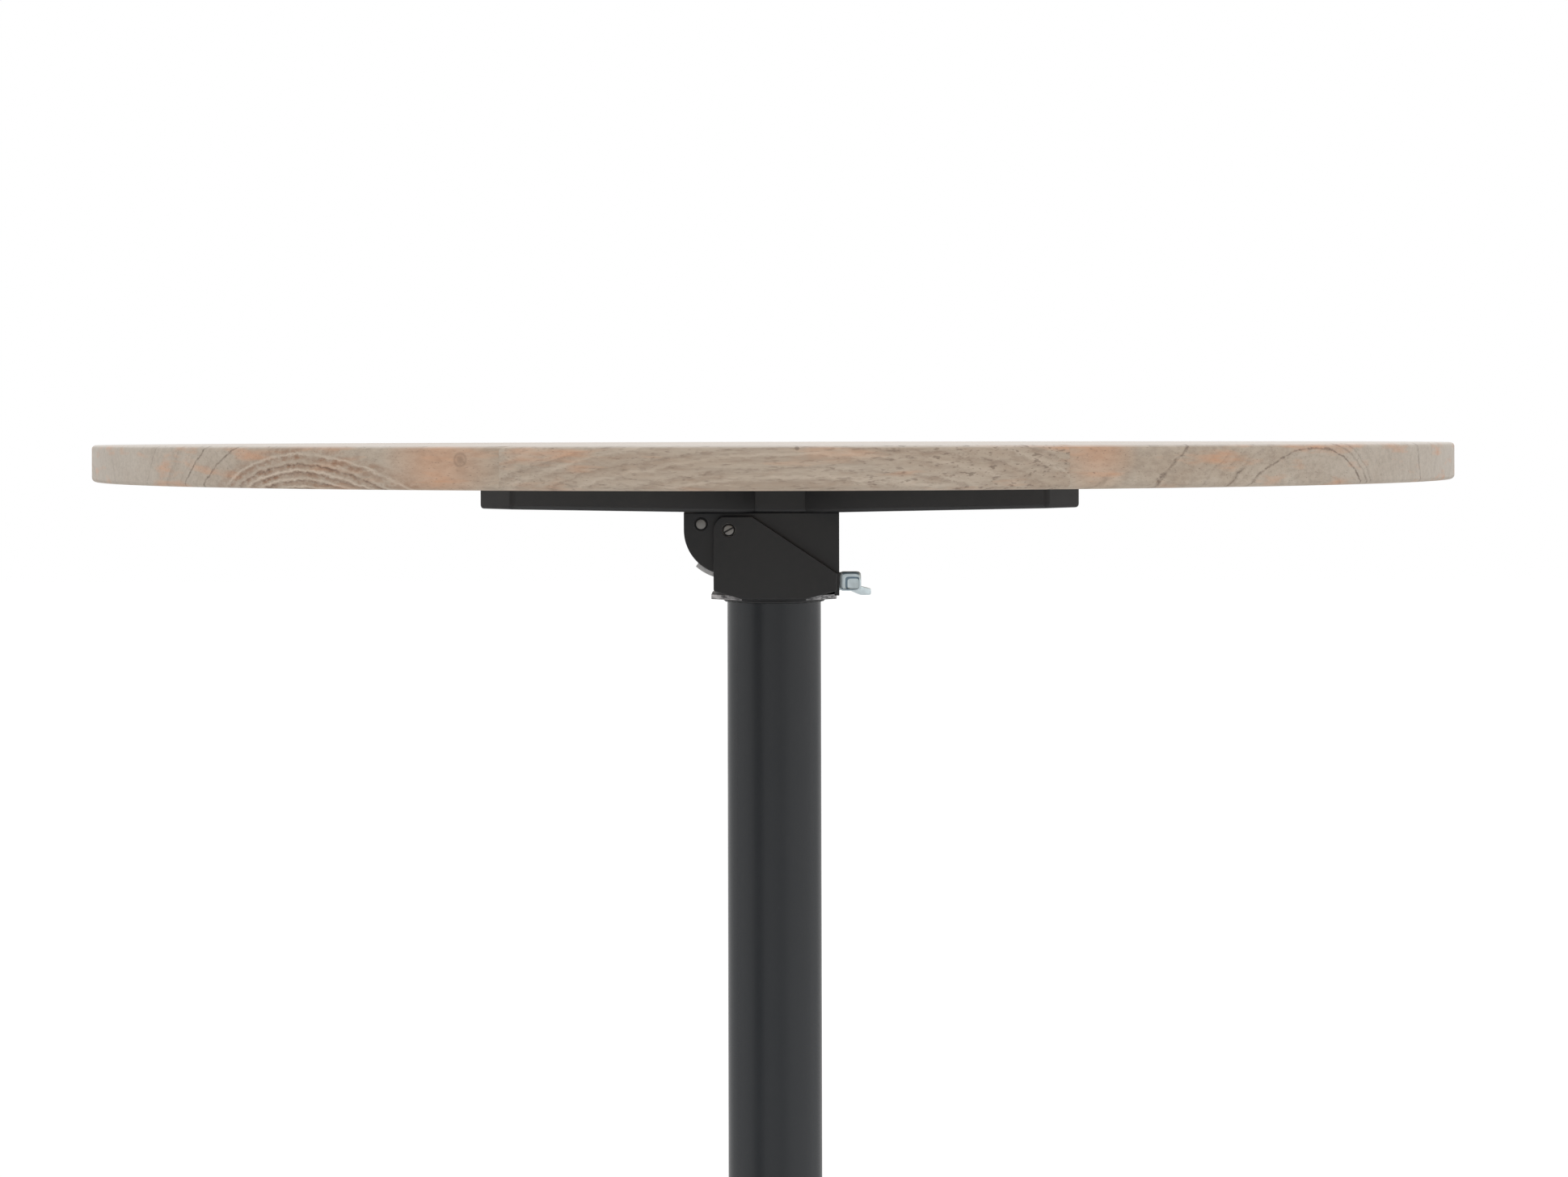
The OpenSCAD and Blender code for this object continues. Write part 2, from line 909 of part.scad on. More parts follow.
module glide_nuts() {
    color(ZINC)
        for (i = [1:arms])
            rotate(arm_turn(i))
                intersection() {
                    translate([glide_reach, 0, glide_top - glide_nut_height])
                        difference() {
                            cylinder(r = stem_hex_radius, h = 2 * glide_nut_height, $fn = hex_sides);
                            translate([0, 0, -over])
                                cylinder(r = stem_radius + running, h = 2 * glide_nut_height + 2 * over);
                        }
                    base_arm_hollow();
                }
}

module glide_pad(i) {
    edge = 1.5;
    color(NYLON)
        at_glide(i)
            difference() {
                union() {
                    cylinder(r = glide_diameter / 2, h = glide_height - edge);
                    translate([0, 0, glide_height - edge])
                        cylinder(r1 = glide_diameter / 2, r2 = glide_diameter / 2 - edge, h = edge);
                    cylinder(r = glide_collar_radius, h = glide_height + glide_collar_height);
                }
                translate([0, 0, glide_seat])
                    cylinder(r = stem_radius + running, h = glide_height + glide_collar_height);
            }
}

module glide_stem(i) {
    color(ZINC)
        at_glide(i) {
            translate([0, 0, glide_seat])
                cylinder(r = stem_radius, h = glide_top - glide_seat - over);
            translate([0, 0, glide_height + glide_collar_height])
                cylinder(r = stem_hex_radius, h = glide_collar_height, $fn = hex_sides);
        }
}

plank(1);  // plank_1
plank(2);  // plank_2
plank(3);  // plank_3
plank(4);  // plank_4
plank(5);  // plank_5
plank(6);  // plank_6
cross_hub();
cross_arm(1);  // cross_arm_1
cross_arm(2);  // cross_arm_2
cross_arm(3);  // cross_arm_3
cross_arm(4);  // cross_arm_4
top_bolts();
bolt_sleeves();
top_inserts();
upper_yoke();
end_plate();
clamp_drum();
stop_pin();
pivot_bushes();
yoke_bolts();
yoke_nuts();
pivot_pin();
pivot_clips();
lower_cheek(-1);  // cheek_front
lower_cheek(1);  // cheek_rear
head_plate();
screw_plate();
weld_nut();
stop_plate();
clamp_shoe();
wing_screw();
column_tube();
head_weld();
column_plug();
column_bolt();
column_washer();
base_socket();
socket_plate();
column_collar();
base_arm(1);  // base_arm_1
base_arm(2);  // base_arm_2
base_arm(3);  // base_arm_3
base_arm(4);  // base_arm_4
glide_nuts();
glide_pad(1);  // glide_pad_1
glide_pad(2);  // glide_pad_2
glide_pad(3);  // glide_pad_3
glide_pad(4);  // glide_pad_4
glide_stem(1);  // glide_stem_1
glide_stem(2);  // glide_stem_2
glide_stem(3);  // glide_stem_3
glide_stem(4);  // glide_stem_4
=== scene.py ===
# %% [markdown]
# # A round table with a top that tips up
#
# This lesson builds the looks of a pedestal table on top of an exact frame.
# The frame holds the real sizes and the moving parts, and we never change it.
# We build each visible piece as a mesh, give it a finish and tie it to its part.

# %% Frame
import json
import math

import bmesh
import bpy
from mathutils import Matrix, Vector

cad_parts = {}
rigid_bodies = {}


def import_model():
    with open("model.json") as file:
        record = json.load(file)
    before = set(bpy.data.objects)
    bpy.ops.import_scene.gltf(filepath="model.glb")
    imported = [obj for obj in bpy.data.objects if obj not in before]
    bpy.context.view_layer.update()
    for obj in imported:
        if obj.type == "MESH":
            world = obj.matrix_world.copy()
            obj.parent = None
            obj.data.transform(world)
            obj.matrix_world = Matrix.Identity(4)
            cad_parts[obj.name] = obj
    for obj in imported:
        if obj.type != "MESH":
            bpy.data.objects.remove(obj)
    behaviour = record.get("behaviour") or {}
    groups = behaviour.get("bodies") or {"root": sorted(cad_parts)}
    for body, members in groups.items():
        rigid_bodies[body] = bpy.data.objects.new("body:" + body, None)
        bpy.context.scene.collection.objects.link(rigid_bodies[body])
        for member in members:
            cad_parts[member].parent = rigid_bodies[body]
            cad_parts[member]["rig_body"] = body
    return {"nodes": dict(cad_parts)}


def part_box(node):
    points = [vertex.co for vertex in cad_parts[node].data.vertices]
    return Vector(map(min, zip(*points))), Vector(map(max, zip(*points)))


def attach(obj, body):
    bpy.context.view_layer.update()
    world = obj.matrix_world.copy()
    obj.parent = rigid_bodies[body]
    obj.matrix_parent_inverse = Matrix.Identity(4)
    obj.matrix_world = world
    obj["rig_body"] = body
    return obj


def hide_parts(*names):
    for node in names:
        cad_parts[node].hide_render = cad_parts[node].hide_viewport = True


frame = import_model()

bpy.context.view_layer.update()

# %% [markdown]
# ## Looking up the frame
#
# Every part of the frame knows its body, which moves as one, and its finish.
# We read both from the part, so a new piece can follow the one it stands for.
# Sizes are written in millimetres, as on a drawing, and scaled at the end.

# %% Looking up the frame
PARTS = frame["nodes"]
SLOT_OF = {name: part.data.materials[0].name.split(".")[0] for name, part in PARTS.items()}
MILLIMETRE = 0.001


def corners(part):
    """The lowest and highest corner of a part, in millimetres."""
    low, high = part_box(part)
    return low / MILLIMETRE, high / MILLIMETRE


PIVOT = Vector((-28.4, 0, 695.5))
CROSS_X = 4.0
WOOD_LOW = corners("plank_3")[0].z
WOOD_HIGH = corners("plank_3")[1].z
print("parts:", len(PARTS), "finishes:", sorted(set(SLOT_OF.values())))
print("planks lie between", round(WOOD_LOW, 1), "and", round(WOOD_HIGH, 1), "mm")

# %% [markdown]
# ## Rounded outlines
#
# Real sheet and bar never end in a perfect corner, and light catches the soft
# edge. A bevel rounds all corners alike, so this helper takes corner points, each
# with its own radius, and puts small arcs in their place.

# %% Rounded outlines
def rounded(points, closed=True, steps=5):
    """An outline through (x, y, radius) points, with arcs at the corners."""
    outline = []
    last = len(points) - 1
    for i, (x, y, radius) in enumerate(points):
        here = Vector((x, y))
        if radius == 0 or (not closed and i in (0, last)):
            outline.append(here)
            continue
        back = (Vector(points[i - 1][:2]) - here).normalized()
        ahead = (Vector(points[(i + 1) % len(points)][:2]) - here).normalized()
        half = back.angle(ahead) / 2
        start = here + back * radius / math.tan(half)
        end = here + ahead * radius / math.tan(half)
        centre = here + (back + ahead).normalized() * radius / math.sin(half)
        first = math.atan2(start.y - centre.y, start.x - centre.x)
        sweep = math.atan2(end.y - centre.y, end.x - centre.x) - first
        sweep = (sweep + math.pi) % (2 * math.pi) - math.pi
        for k in range(steps + 1):
            angle = first + sweep * k / steps
            outline.append(centre + radius * Vector((math.cos(angle), math.sin(angle))))
    return outline


def circle(x, y, radius, steps=48):
    """A round outline."""
    turns = [2 * math.pi * k / steps for k in range(steps)]
    return [Vector((x + radius * math.cos(t), y + radius * math.sin(t))) for t in turns]


def area(loop):
    """The area inside an outline, positive when it runs anticlockwise."""
    return sum(a.x * b.y - b.x * a.y for a, b in zip(loop, loop[1:] + loop[:1])) / 2


def shrunk(loop, distance):
    """The outline moved to its left by a distance, which is inwards."""
    moved = []
    for i, here in enumerate(loop):
        before = (here - loop[i - 1]).normalized()
        after = (loop[(i + 1) % len(loop)] - here).normalized()
        side_a = Vector((-before.y, before.x))
        side_b = Vector((-after.y, after.x))
        moved.append(here + (side_a + side_b) * distance / (1 + side_a.dot(side_b)))
    return moved


print("outline helpers ready")

# %% [markdown]
# ## Four ways to make a mesh
#
# A lathe turns a profile about an axis and makes pins, tubes and bolts. A plate
# is an outline with holes and a thickness. A loft joins a row of sections and
# makes bent sheet. A bead is a ring of weld with ripples in it.

# %% Lathe
def turned(profile, closed=False, steps=48):
    """Turns (radius, height) points about Z. A third value makes that ring a polygon."""
    bm = bmesh.new()
    rings = []
    for radius, height, *sides in profile:
        if radius == 0:
            rings.append([bm.verts.new((0, 0, height))])
            continue
        ring = []
        for k in range(steps):
            turn = 2 * math.pi * k / steps
            reach = radius
            if sides:
                share = math.pi / sides[0]
                reach *= math.cos(share) / math.cos(turn % (2 * share) - share)
            ring.append(bm.verts.new((reach * math.cos(turn), reach * math.sin(turn), height)))
        rings.append(ring)
    pairs = list(zip(rings, rings[1:]))
    if closed:
        pairs.append((rings[-1], rings[0]))
    for a, b in pairs:
        for k in range(steps):
            n = (k + 1) % steps
            face = [a[k % len(a)], a[n % len(a)], b[n % len(b)], b[k % len(b)]]
            face = list(dict.fromkeys(face))
            if len(face) > 2:
                bm.faces.new(face)
    return bm


# %% Plate
def plate(outline, holes, low, high, edge, steps=4, hole_edge=0.2):
    """A sheet with the outline and holes given, its edges rounded by a radius."""
    bm = bmesh.new()
    loops = [outline if area(outline) > 0 else outline[::-1]]
    loops += [hole if area(hole) < 0 else hole[::-1] for hole in holes]
    turns = [math.pi / 2 * k / steps for k in range(steps + 1)]
    caps = ([], [])
    for i, loop in enumerate(loops):
        soft = hole_edge if i else edge
        levels = [(soft * (1 - math.sin(t)), low + soft * (1 - math.cos(t))) for t in turns]
        levels += [(inset, low + high - height) for inset, height in reversed(levels)]
        rings = []
        for inset, height in levels:
            rings.append([bm.verts.new((p.x, p.y, height)) for p in shrunk(loop, inset)])
        count = len(loop)
        for a, b in zip(rings, rings[1:]):
            for k in range(count):
                bm.faces.new((a[k], a[(k + 1) % count], b[(k + 1) % count], b[k]))
        for cap, ring in zip(caps, (rings[0], rings[-1])):
            cap.extend(bm.edges.get((ring[k - 1], ring[k])) for k in range(count))
    for cap in caps:
        bmesh.ops.triangle_fill(bm, use_beauty=True, edges=cap)
    return bm


# %% Loft
def loft(sections, closed=True, caps=(True, True)):
    """Joins sections, each a list of 3D points, into one skin."""
    bm = bmesh.new()
    rows = [[bm.verts.new(point) for point in section] for section in sections]
    count = len(rows[0])
    for a, b in zip(rows, rows[1:]):
        for k in range(count if closed else count - 1):
            n = (k + 1) % count
            bm.faces.new((a[k], a[n], b[n], b[k]))
    for wanted, row in zip(caps, (rows[0], rows[-1])):
        if wanted:
            bm.faces.new(row)
    return bm


# %% Bead
def bead(radius, height, size, ripples, steps=192):
    """A ring of weld metal about Z, its surface rippled as the torch moved."""
    sections = []
    for k in range(steps + 1):
        t = 2 * math.pi * k / steps
        swell = 1 + 0.13 * math.sin(ripples * t) + 0.10 * math.sin(7.3 * t + 1.1)
        drift = 0.12 * size * math.sin(5 * t + 0.4)
        section = []
        for j in range(10):
            a = 2 * math.pi * j / 10
            reach = radius + drift + size * swell * math.cos(a)
            lift = height + 0.8 * size * swell * math.sin(a)
            section.append(Vector((reach * math.cos(t), reach * math.sin(t), lift)))
        sections.append(section)
    return loft(sections)


print("mesh helpers ready")

# %% [markdown]
# ## From mesh to piece
#
# A piece gets smooth shading with sharp edges kept, and weighted normals keep
# large flat faces flat beside small round edges. It then rides on the body of
# the part it stands for, takes the finish it is given, and the part itself is hidden.

# %% From mesh to piece
LYING_Y = Matrix(((1, 0, 0), (0, 0, 1), (0, 1, 0))).to_4x4()
LYING_X = Matrix(((0, 0, 1), (1, 0, 0), (0, 1, 0))).to_4x4()


def at(x, y, z, turn=0.0, axis="Z"):
    """A place, with a turn in degrees."""
    return Matrix.Translation((x, y, z)) @ Matrix.Rotation(math.radians(turn), 4, axis)


def as_mesh(bm, name):
    """The working mesh turned into mesh data."""
    mesh = bpy.data.meshes.new(name)
    bm.to_mesh(mesh)
    bm.free()
    return mesh


def linked(name, data):
    """A new object in the scene."""
    obj = bpy.data.objects.new(name, data)
    bpy.context.scene.collection.objects.link(obj)
    return obj


def merged(*meshes):
    """Several meshes as one."""
    whole = bmesh.new()
    for bm in meshes:
        carried = as_mesh(bm, "carried")
        whole.from_mesh(carried)
        bpy.data.meshes.remove(carried)
    return whole


def moved(bm, place):
    """The mesh at another place."""
    bm.transform(place)
    return bm


def tidy(bm):
    """Joins points that coincide, and turns all faces outwards."""
    bmesh.ops.remove_doubles(bm, verts=bm.verts, dist=0.002)
    bmesh.ops.recalc_face_normals(bm, faces=bm.faces)
    return bm


def drilled(bm, cutter):
    """The mesh with the cutter's shape taken out of it."""
    pair = [linked("blank", as_mesh(tidy(shape), "blank")) for shape in (bm, cutter)]
    cut = pair[0].modifiers.new("Cut", "BOOLEAN")
    cut.operation = "DIFFERENCE"
    cut.solver = "EXACT"
    cut.object = pair[1]
    ready = pair[0].evaluated_get(bpy.context.evaluated_depsgraph_get())
    result = bmesh.new()
    result.from_mesh(ready.to_mesh())
    for item in pair:
        mesh = item.data
        bpy.data.objects.remove(item)
        bpy.data.meshes.remove(mesh)
    return result


def piece(name, bm, parts, finish, sharp=32, sheet=0.0):
    """Makes an object that stands for some parts of the frame."""
    mesh = as_mesh(moved(tidy(bm), Matrix.Scale(MILLIMETRE, 4)), name)
    mesh.materials.append(finish)
    mesh.shade_smooth()
    mesh.set_sharp_from_angle(angle=math.radians(sharp))
    obj = linked(name, mesh)
    if sheet:
        solid = obj.modifiers.new("Sheet", "SOLIDIFY")
        solid.thickness = sheet * MILLIMETRE
        solid.offset = -1
        solid.use_even_offset = True
    even = obj.modifiers.new("Even shading", "WEIGHTED_NORMAL")
    even.keep_sharp = True
    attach(obj, PARTS[parts[0]]["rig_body"])
    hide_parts(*parts)
    print(name, "has", len(mesh.polygons), "faces")
    return obj


# %% [markdown]
# ## Writing finishes
#
# A finish is a small network of nodes. Colours are written as they look on
# screen, from 0 to 255, and turned into light values here. The helpers add a
# node, fill in its inputs and wire it up, so that a finish reads like a recipe.

# %% Writing finishes
def seen(red, green, blue):
    """A colour as it looks on screen, as light values."""
    def light(v):
        v /= 255
        return v / 12.92 if v <= 0.04045 else ((v + 0.055) / 1.055) ** 2.4
    return (light(red), light(green), light(blue), 1.0)


def feed(tree, node, inputs):
    """Fills in inputs of a node, each with a value or the output of another node."""
    for key, value in inputs.items():
        if isinstance(value, bpy.types.NodeSocket):
            tree.links.new(value, node.inputs[key])
        else:
            node.inputs[key].default_value = value


def add(tree, kind, inputs=None, **settings):
    """A new node, set up and fed."""
    made = tree.nodes.new("ShaderNode" + kind)
    for key, value in settings.items():
        setattr(made, key, value)
    feed(tree, made, inputs or {})
    return made


def maths(tree, operation, *values, clamp=False):
    """A sum, product or other calculation with one or more values."""
    inputs = dict(enumerate(values))
    return add(tree, "Math", inputs, operation=operation, use_clamp=clamp).outputs[0]


def times(tree, a, b):
    """The product of two values."""
    return maths(tree, "MULTIPLY", a, b)


def scaled(tree, value, factor, offset):
    """A value times a factor, plus an offset."""
    return maths(tree, "MULTIPLY_ADD", value, factor, offset)


def axes(tree, place):
    """The three coordinates of a place or direction."""
    return add(tree, "SeparateXYZ", {0: place}).outputs


def mix(tree, factor, a, b):
    """A colour between a and b."""
    return add(tree, "Mix", {0: factor, 6: a, 7: b}, data_type="RGBA").outputs[2]


def ramp(tree, factor, *stops):
    """A value that follows the (place, value) stops."""
    made = add(tree, "ValToRGB", {0: factor})
    band = made.color_ramp.elements
    while len(band) < len(stops):
        band.new(0.5)
    for element, (place, value) in zip(band, stops):
        element.position = place
        element.color = (value, value, value, 1)
    return made.outputs[0]


def noise(tree, place, waves, detail, roughness, seed):
    """Cloudy values around 0.5, with a number of waves per metre along each axis."""
    place = add(tree, "VectorMath", {0: place, 1: waves}, operation="MULTIPLY").outputs[0]
    inputs = {"Vector": place, "W": seed, "Scale": 1.0, "Detail": detail, "Roughness": roughness}
    return add(tree, "TexNoise", inputs, noise_dimensions="4D").outputs[0]


def blank(name):
    """A new material with its node tree, its shader and the place on the object."""
    made = bpy.data.materials.new(name)
    made.use_nodes = True
    tree = made.node_tree
    shader = tree.nodes["Principled BSDF"]
    place = add(tree, "TexCoord").outputs["Object"]
    return made, tree, shader, place


def relief(tree, height, depth, strength):
    """A bumpy normal, with the depth in millimetres."""
    inputs = {"Height": height, "Distance": depth * MILLIMETRE, "Strength": strength}
    return add(tree, "Bump", inputs).outputs[0]


print("finish helpers ready")

# %% [markdown]
# ## Rings of the wood
#
# A tree grows in rings about its centre line, the pith. A picture of grain would
# break at each edge of a board, so we work it out in space: the distance from the
# pith tells the ring, which gives arches on the rim and long flames on the face.
# Growth slows or speeds up with age, so close rings turn into wide ones.

# %% Rings of the wood
PALE = seen(186, 173, 157)
MIDDLE = seen(171, 154, 136)
DARK = seen(88, 70, 58)
RUST = seen(146, 112, 88)
CREAM = seen(214, 198, 180)
ORANGE = seen(207, 150, 112)
# Pale colour of the painted light on the upper face.
PAINTED_TOP_LIGHT = seen(230, 224, 217)
GREYED = seen(190, 184, 175)


def pith_distance(tree, place, pith, warp):
    """The distance in millimetres from a pith line, which may bend sideways."""
    (x0, y0, z0), (x1, y1, z1), bend = pith
    x, y, z = axes(tree, place)
    run = scaled(tree, x, 1000 / (x1 - x0), -x0 / (x1 - x0))
    bow = times(tree, run, maths(tree, "SUBTRACT", 1.0, run))
    centre_y = scaled(tree, bow, bend, scaled(tree, run, y1 - y0, y0))
    centre_z = scaled(tree, run, z1 - z0, z0)
    away_y = scaled(tree, y, 1000, times(tree, centre_y, -1))
    away_z = scaled(tree, z, 1000, times(tree, centre_z, -1))
    squares = scaled(tree, away_y, away_y, times(tree, away_z, away_z))
    return maths(tree, "ADD", maths(tree, "SQRT", squares), warp)


def ring_number(tree, radius, change, close, wide):
    """How many rings lie inside a distance: close ones first, then wide ones."""
    young = maths(tree, "DIVIDE", maths(tree, "MINIMUM", radius, change), close)
    late = maths(tree, "MAXIMUM", maths(tree, "SUBTRACT", radius, change), 0.0)
    return maths(tree, "ADD", young, maths(tree, "DIVIDE", late, wide))


def heartwood(tree, place, along, radius, reach, core, seed):
    """How strongly the rings near the pith show, at the left and at the right."""
    left, right = core
    heart = scaled(tree, along, (right - left) / 0.6, (left + right) / 2)
    inside = ramp(tree, maths(tree, "DIVIDE", radius, 100), (reach / 100, 1.0), (reach / 100 + 0.04, 0.0))
    heart = maths(tree, "MAXIMUM", times(tree, heart, inside), 0.0)
    patch = noise(tree, place, (45, 90, 140), 3.0, 0.6, seed)
    return times(tree, heart, ramp(tree, patch, (0.32, 0.25), (0.58, 1.0)))


print("ring helpers ready")

# %% [markdown]
# ## Marks on the wood
#
# Knots, stains and single dark lines give each board its face. They are placed one
# by one, because noise would scatter them anywhere. Painted light pales the upper
# face, as if lit from above, and a little of the lower rounding, as if lit from the floor.

# %% Marks on the wood
STAIN = ((0.2, 1.0), (1.0, 0.0))
RIMMED = ((0.0, 1.0), (0.35, 0.75), (0.55, 0.35), (0.75, 0.75), (1.0, 0.0))


def spot(tree, place, colour, mark, paint, stops):
    """A round mark (x, y, z, size, depth) that fades outwards along the stops."""
    *centre, size, depth = mark
    centre = [value * MILLIMETRE for value in centre]
    away = add(tree, "VectorMath", {0: place, 1: centre}, operation="DISTANCE").outputs[1]
    away = maths(tree, "DIVIDE", away, size * MILLIMETRE)
    return mix(tree, times(tree, ramp(tree, away, *stops), depth), colour, paint)


def ring_mark(tree, colour, radius, along, ragged, mark):
    """A dark line (distance from the pith, strength, first x, last x)."""
    reach, strength, first, last = mark
    middle, half = (first + last) / 2, (last - first) / 2
    off = maths(tree, "ABSOLUTE", maths(tree, "SUBTRACT", radius, reach))
    line = times(tree, ramp(tree, off, (0.15, 1.0), (0.75, 0.0)), ragged)
    beside = scaled(tree, along, 1 / half / MILLIMETRE, -middle / half)
    beside = ramp(tree, maths(tree, "ABSOLUTE", beside), (0.6, strength), (1.0, 0.0))
    return mix(tree, times(tree, line, beside), colour, DARK)


def painted_light_above_and_below(tree, colour):
    """Painted light: the upper face paler as if lit from above, the lower rounding a little paler as if
    lit from the floor.
    """
    up = axes(tree, add(tree, "TexCoord").outputs["Normal"])[2]
    above = times(tree, ramp(tree, up, (0.45, 0.0), (0.95, 1.0)), 0.68)
    below = times(tree, ramp(tree, times(tree, up, -1), (0.5, 0.0), (0.9, 1.0)), 0.3)
    return mix(tree, below, mix(tree, above, colour, PAINTED_TOP_LIGHT), CREAM)


print("mark helpers ready")

# %% [markdown]
# ## Oiled wood
#
# The recipe lays thin dark lines, broad rusty bands and pores over a cloudy ground.
# Each ring draws its own luck, so no two look alike. The ends have turned grey.

# %% Oiled wood
def wood(name, pith, rings, seed, wobble=5.0, core=(0.2, 0.2), lines=0.45, marks=(),
         knots=(), stains=(), dashes=0.0):
    """Oiled wood with rings about a pith line, fibres along X and open pores."""
    made, tree, shader, place = blank(name)
    along, _, height = axes(tree, place)
    slow = noise(tree, place, (7, 17, 17), 2.0, 0.5, seed)
    fine = noise(tree, place, (75, 150, 150), 5.0, 0.72, seed + 3)
    warp = scaled(tree, slow, 2 * wobble, -wobble)
    warp = maths(tree, "ADD", warp, scaled(tree, fine, 5.4, -2.7))
    radius = pith_distance(tree, place, pith, warp)
    number = ring_number(tree, radius, *rings)
    part_way = maths(tree, "FRACT", number)
    luck = maths(tree, "ADD", maths(tree, "FLOOR", number), seed)
    luck = add(tree, "TexWhiteNoise", {"W": luck}, noise_dimensions="1D").outputs[0]
    weight = scaled(tree, maths(tree, "POWER", luck, 1.6), 0.85, 0.15)
    ragged = noise(tree, place, (160, 420, 420), 4.0, 0.65, seed + 5)
    ragged = ramp(tree, ragged, (0.34, 0.15), (0.58, 1.0))
    heart = heartwood(tree, place, along, radius, rings[0], core, seed + 6)
    thin = ramp(tree, part_way, (0, 0.4), (0.06, 0), (0.70, 0.05), (0.92, 0.9), (0.98, 1), (1, 0.4))
    thin = times(tree, times(tree, thin, weight), ragged)
    broad = ramp(tree, part_way, (0.0, 0.65), (0.20, 0.15), (0.40, 0.30), (0.70, 1.0), (1.0, 0.65))
    broad = times(tree, times(tree, broad, heart), ragged)
    cream = ramp(tree, part_way, (0.05, 0.0), (0.22, 1.0), (0.45, 0.0))
    cream = times(tree, times(tree, cream, heart), times(tree, luck, 1.1))

    tone = noise(tree, place, (5, 60, 60), 4.0, 0.55, seed + 7)
    streak = noise(tree, place, (14, 420, 420), 4.0, 0.7, seed + 11)
    colour = mix(tree, ramp(tree, tone, (0.33, 0.0), (0.67, 1.0)), MIDDLE, PALE)
    colour = mix(tree, ramp(tree, streak, (0.38, 0.20), (0.56, 0.0)), colour, DARK)
    ends = ramp(tree, maths(tree, "ABSOLUTE", along), (0.24, 0.0), (0.40, 0.5))
    colour = mix(tree, ends, colour, GREYED)
    high = scaled(tree, height, 1000, -WOOD_LOW)
    high = maths(tree, "DIVIDE", high, WOOD_HIGH - WOOD_LOW)
    bright = noise(tree, place, (17, 38, 130), 3.0, 0.55, seed + 13)
    bright = maths(tree, "ADD", bright, ramp(tree, high, (0.55, 0.0), (0.95, 0.07)))
    colour = mix(tree, ramp(tree, bright, (0.56, 0.0), (0.74, 0.55)), colour, ORANGE)
    for mark in stains:
        colour = spot(tree, place, colour, mark, ORANGE, STAIN)
    colour = mix(tree, cream, colour, CREAM)
    colour = mix(tree, times(tree, broad, 0.9), colour, RUST)
    # Painted light on the upper face and the lower rounding.
    colour = painted_light_above_and_below(tree, colour)
    fade = scaled(tree, heart, 0.9, lines)
    colour = mix(tree, maths(tree, "MULTIPLY", thin, fade, clamp=True), colour, DARK)
    for mark in marks:
        colour = ring_mark(tree, colour, radius, along, ragged, mark)
    pores = noise(tree, place, (110, 1500, 1500), 1.0, 0.5, seed + 17)
    pores = ramp(tree, pores, (0.64, 0.0), (0.74, 1.0))
    colour = mix(tree, times(tree, pores, 0.45), colour, DARK)
    if dashes:
        dash = noise(tree, place, (150, 620, 620), 2.0, 0.6, seed + 19)
        dash = ramp(tree, dash, (0.57, 0.0), (0.64, 1.0))
        dash = times(tree, dash, ramp(tree, along, (0.0, 0.35), (0.10, 1.0)))
        colour = mix(tree, times(tree, dash, dashes), colour, DARK)
    for mark in knots:
        colour = spot(tree, place, colour, mark, DARK, RIMMED)
    gloss = ramp(tree, streak, (0.3, 0.62), (0.7, 0.50))
    normal = relief(tree, maths(tree, "SUBTRACT", streak, pores), 0.12, 0.35)
    feed(tree, shader, {"Base Color": colour, "Roughness": gloss, "Normal": normal})
    return made


print("wood recipe ready")

# %% [markdown]
# ## Planks
#
# Six boards make the top: a narrow strip at the front, four equal boards and a
# strip at the back. They could be sawn from one disc, but a pile of outlines gives
# each board its rounded rim and a fine groove at the seams without any cutting.
# Each board has a pith of its own.

# %% Planks
TOP_RADIUS = 424.95
RIM_ROUND = 2.5
GROOVE = 0.35
SEAMS = (-426.0, -401.0, -207.0, -13.0, 181.0, 375.0, 426.0)
PLANK_TURN = 1.0


def board_outline(radius, front, back, steps=44):
    """The outline of a round top between two straight lines."""
    low = math.asin(max(-1.0, min(1.0, front / radius)))
    high = math.asin(max(-1.0, min(1.0, back / radius)))
    right = [low + (high - low) * k / steps for k in range(steps + 1)]
    turns = right + [math.pi - t for t in reversed(right)]
    return [Vector((radius * math.cos(t), radius * math.sin(t))) for t in turns]


def board(front, back):
    """A board of the top, from one seam to the next."""
    turns = [math.pi / 2 * k / 8 for k in range(9)]
    levels = [(RIM_ROUND * (1 - math.sin(t)), RIM_ROUND * (1 - math.cos(t))) for t in turns]
    levels.insert(0, (levels[0][0] + 1.0, 0.0))
    thick = WOOD_HIGH - WOOD_LOW
    levels += [(inset, thick - height) for inset, height in reversed(levels)]
    sections = []
    for inset, height in levels:
        from_face = min(height, thick - height)
        groove = max(0.0, GROOVE - from_face) + (0.6 if inset > RIM_ROUND else 0.0)
        loop = board_outline(TOP_RADIUS - inset, front + groove + 0.02, back - groove - 0.02)
        sections.append([Vector((p.x, p.y, WOOD_LOW + height)) for p in loop])
    return moved(loft(sections), at(0, 0, 0, PLANK_TURN))


PITHS = (
    ((-300, -470, 673), (300, -470, 705), 0),
    ((-234, -345, 686.6), (300, -316.5, 711.2), 40),
    ((-300, -120, 690), (300, -96, 668), 0),
    ((-300, 60, 655), (300, 96, 690), 0),
    ((-300, 300, 800), (300, 262, 815), 0),
    ((-300, 396, 640), (300, 402, 655), 0),
)
KNOT = (-153.5, -396.3, 743.2, 4.2, 0.42)
DOT = (12.9, -424.8, 748.8, 1.3, 0.9)
MARKS = (
    (72.0, 0.7, -330, -250), (85.0, 0.7, -350, -260), (120.0, 0.3, -380, -300), (81.0, 0.5, 138, 170),
    (68.0, 0.7, 160, 235), (45.0, 0.6, 216, 246), (37.2, 0.75, 230, 345), (41.5, 0.45, 280, 345),
    (44.5, 0.35, 270, 350), (100.0, 0.5, 340, 400),
)
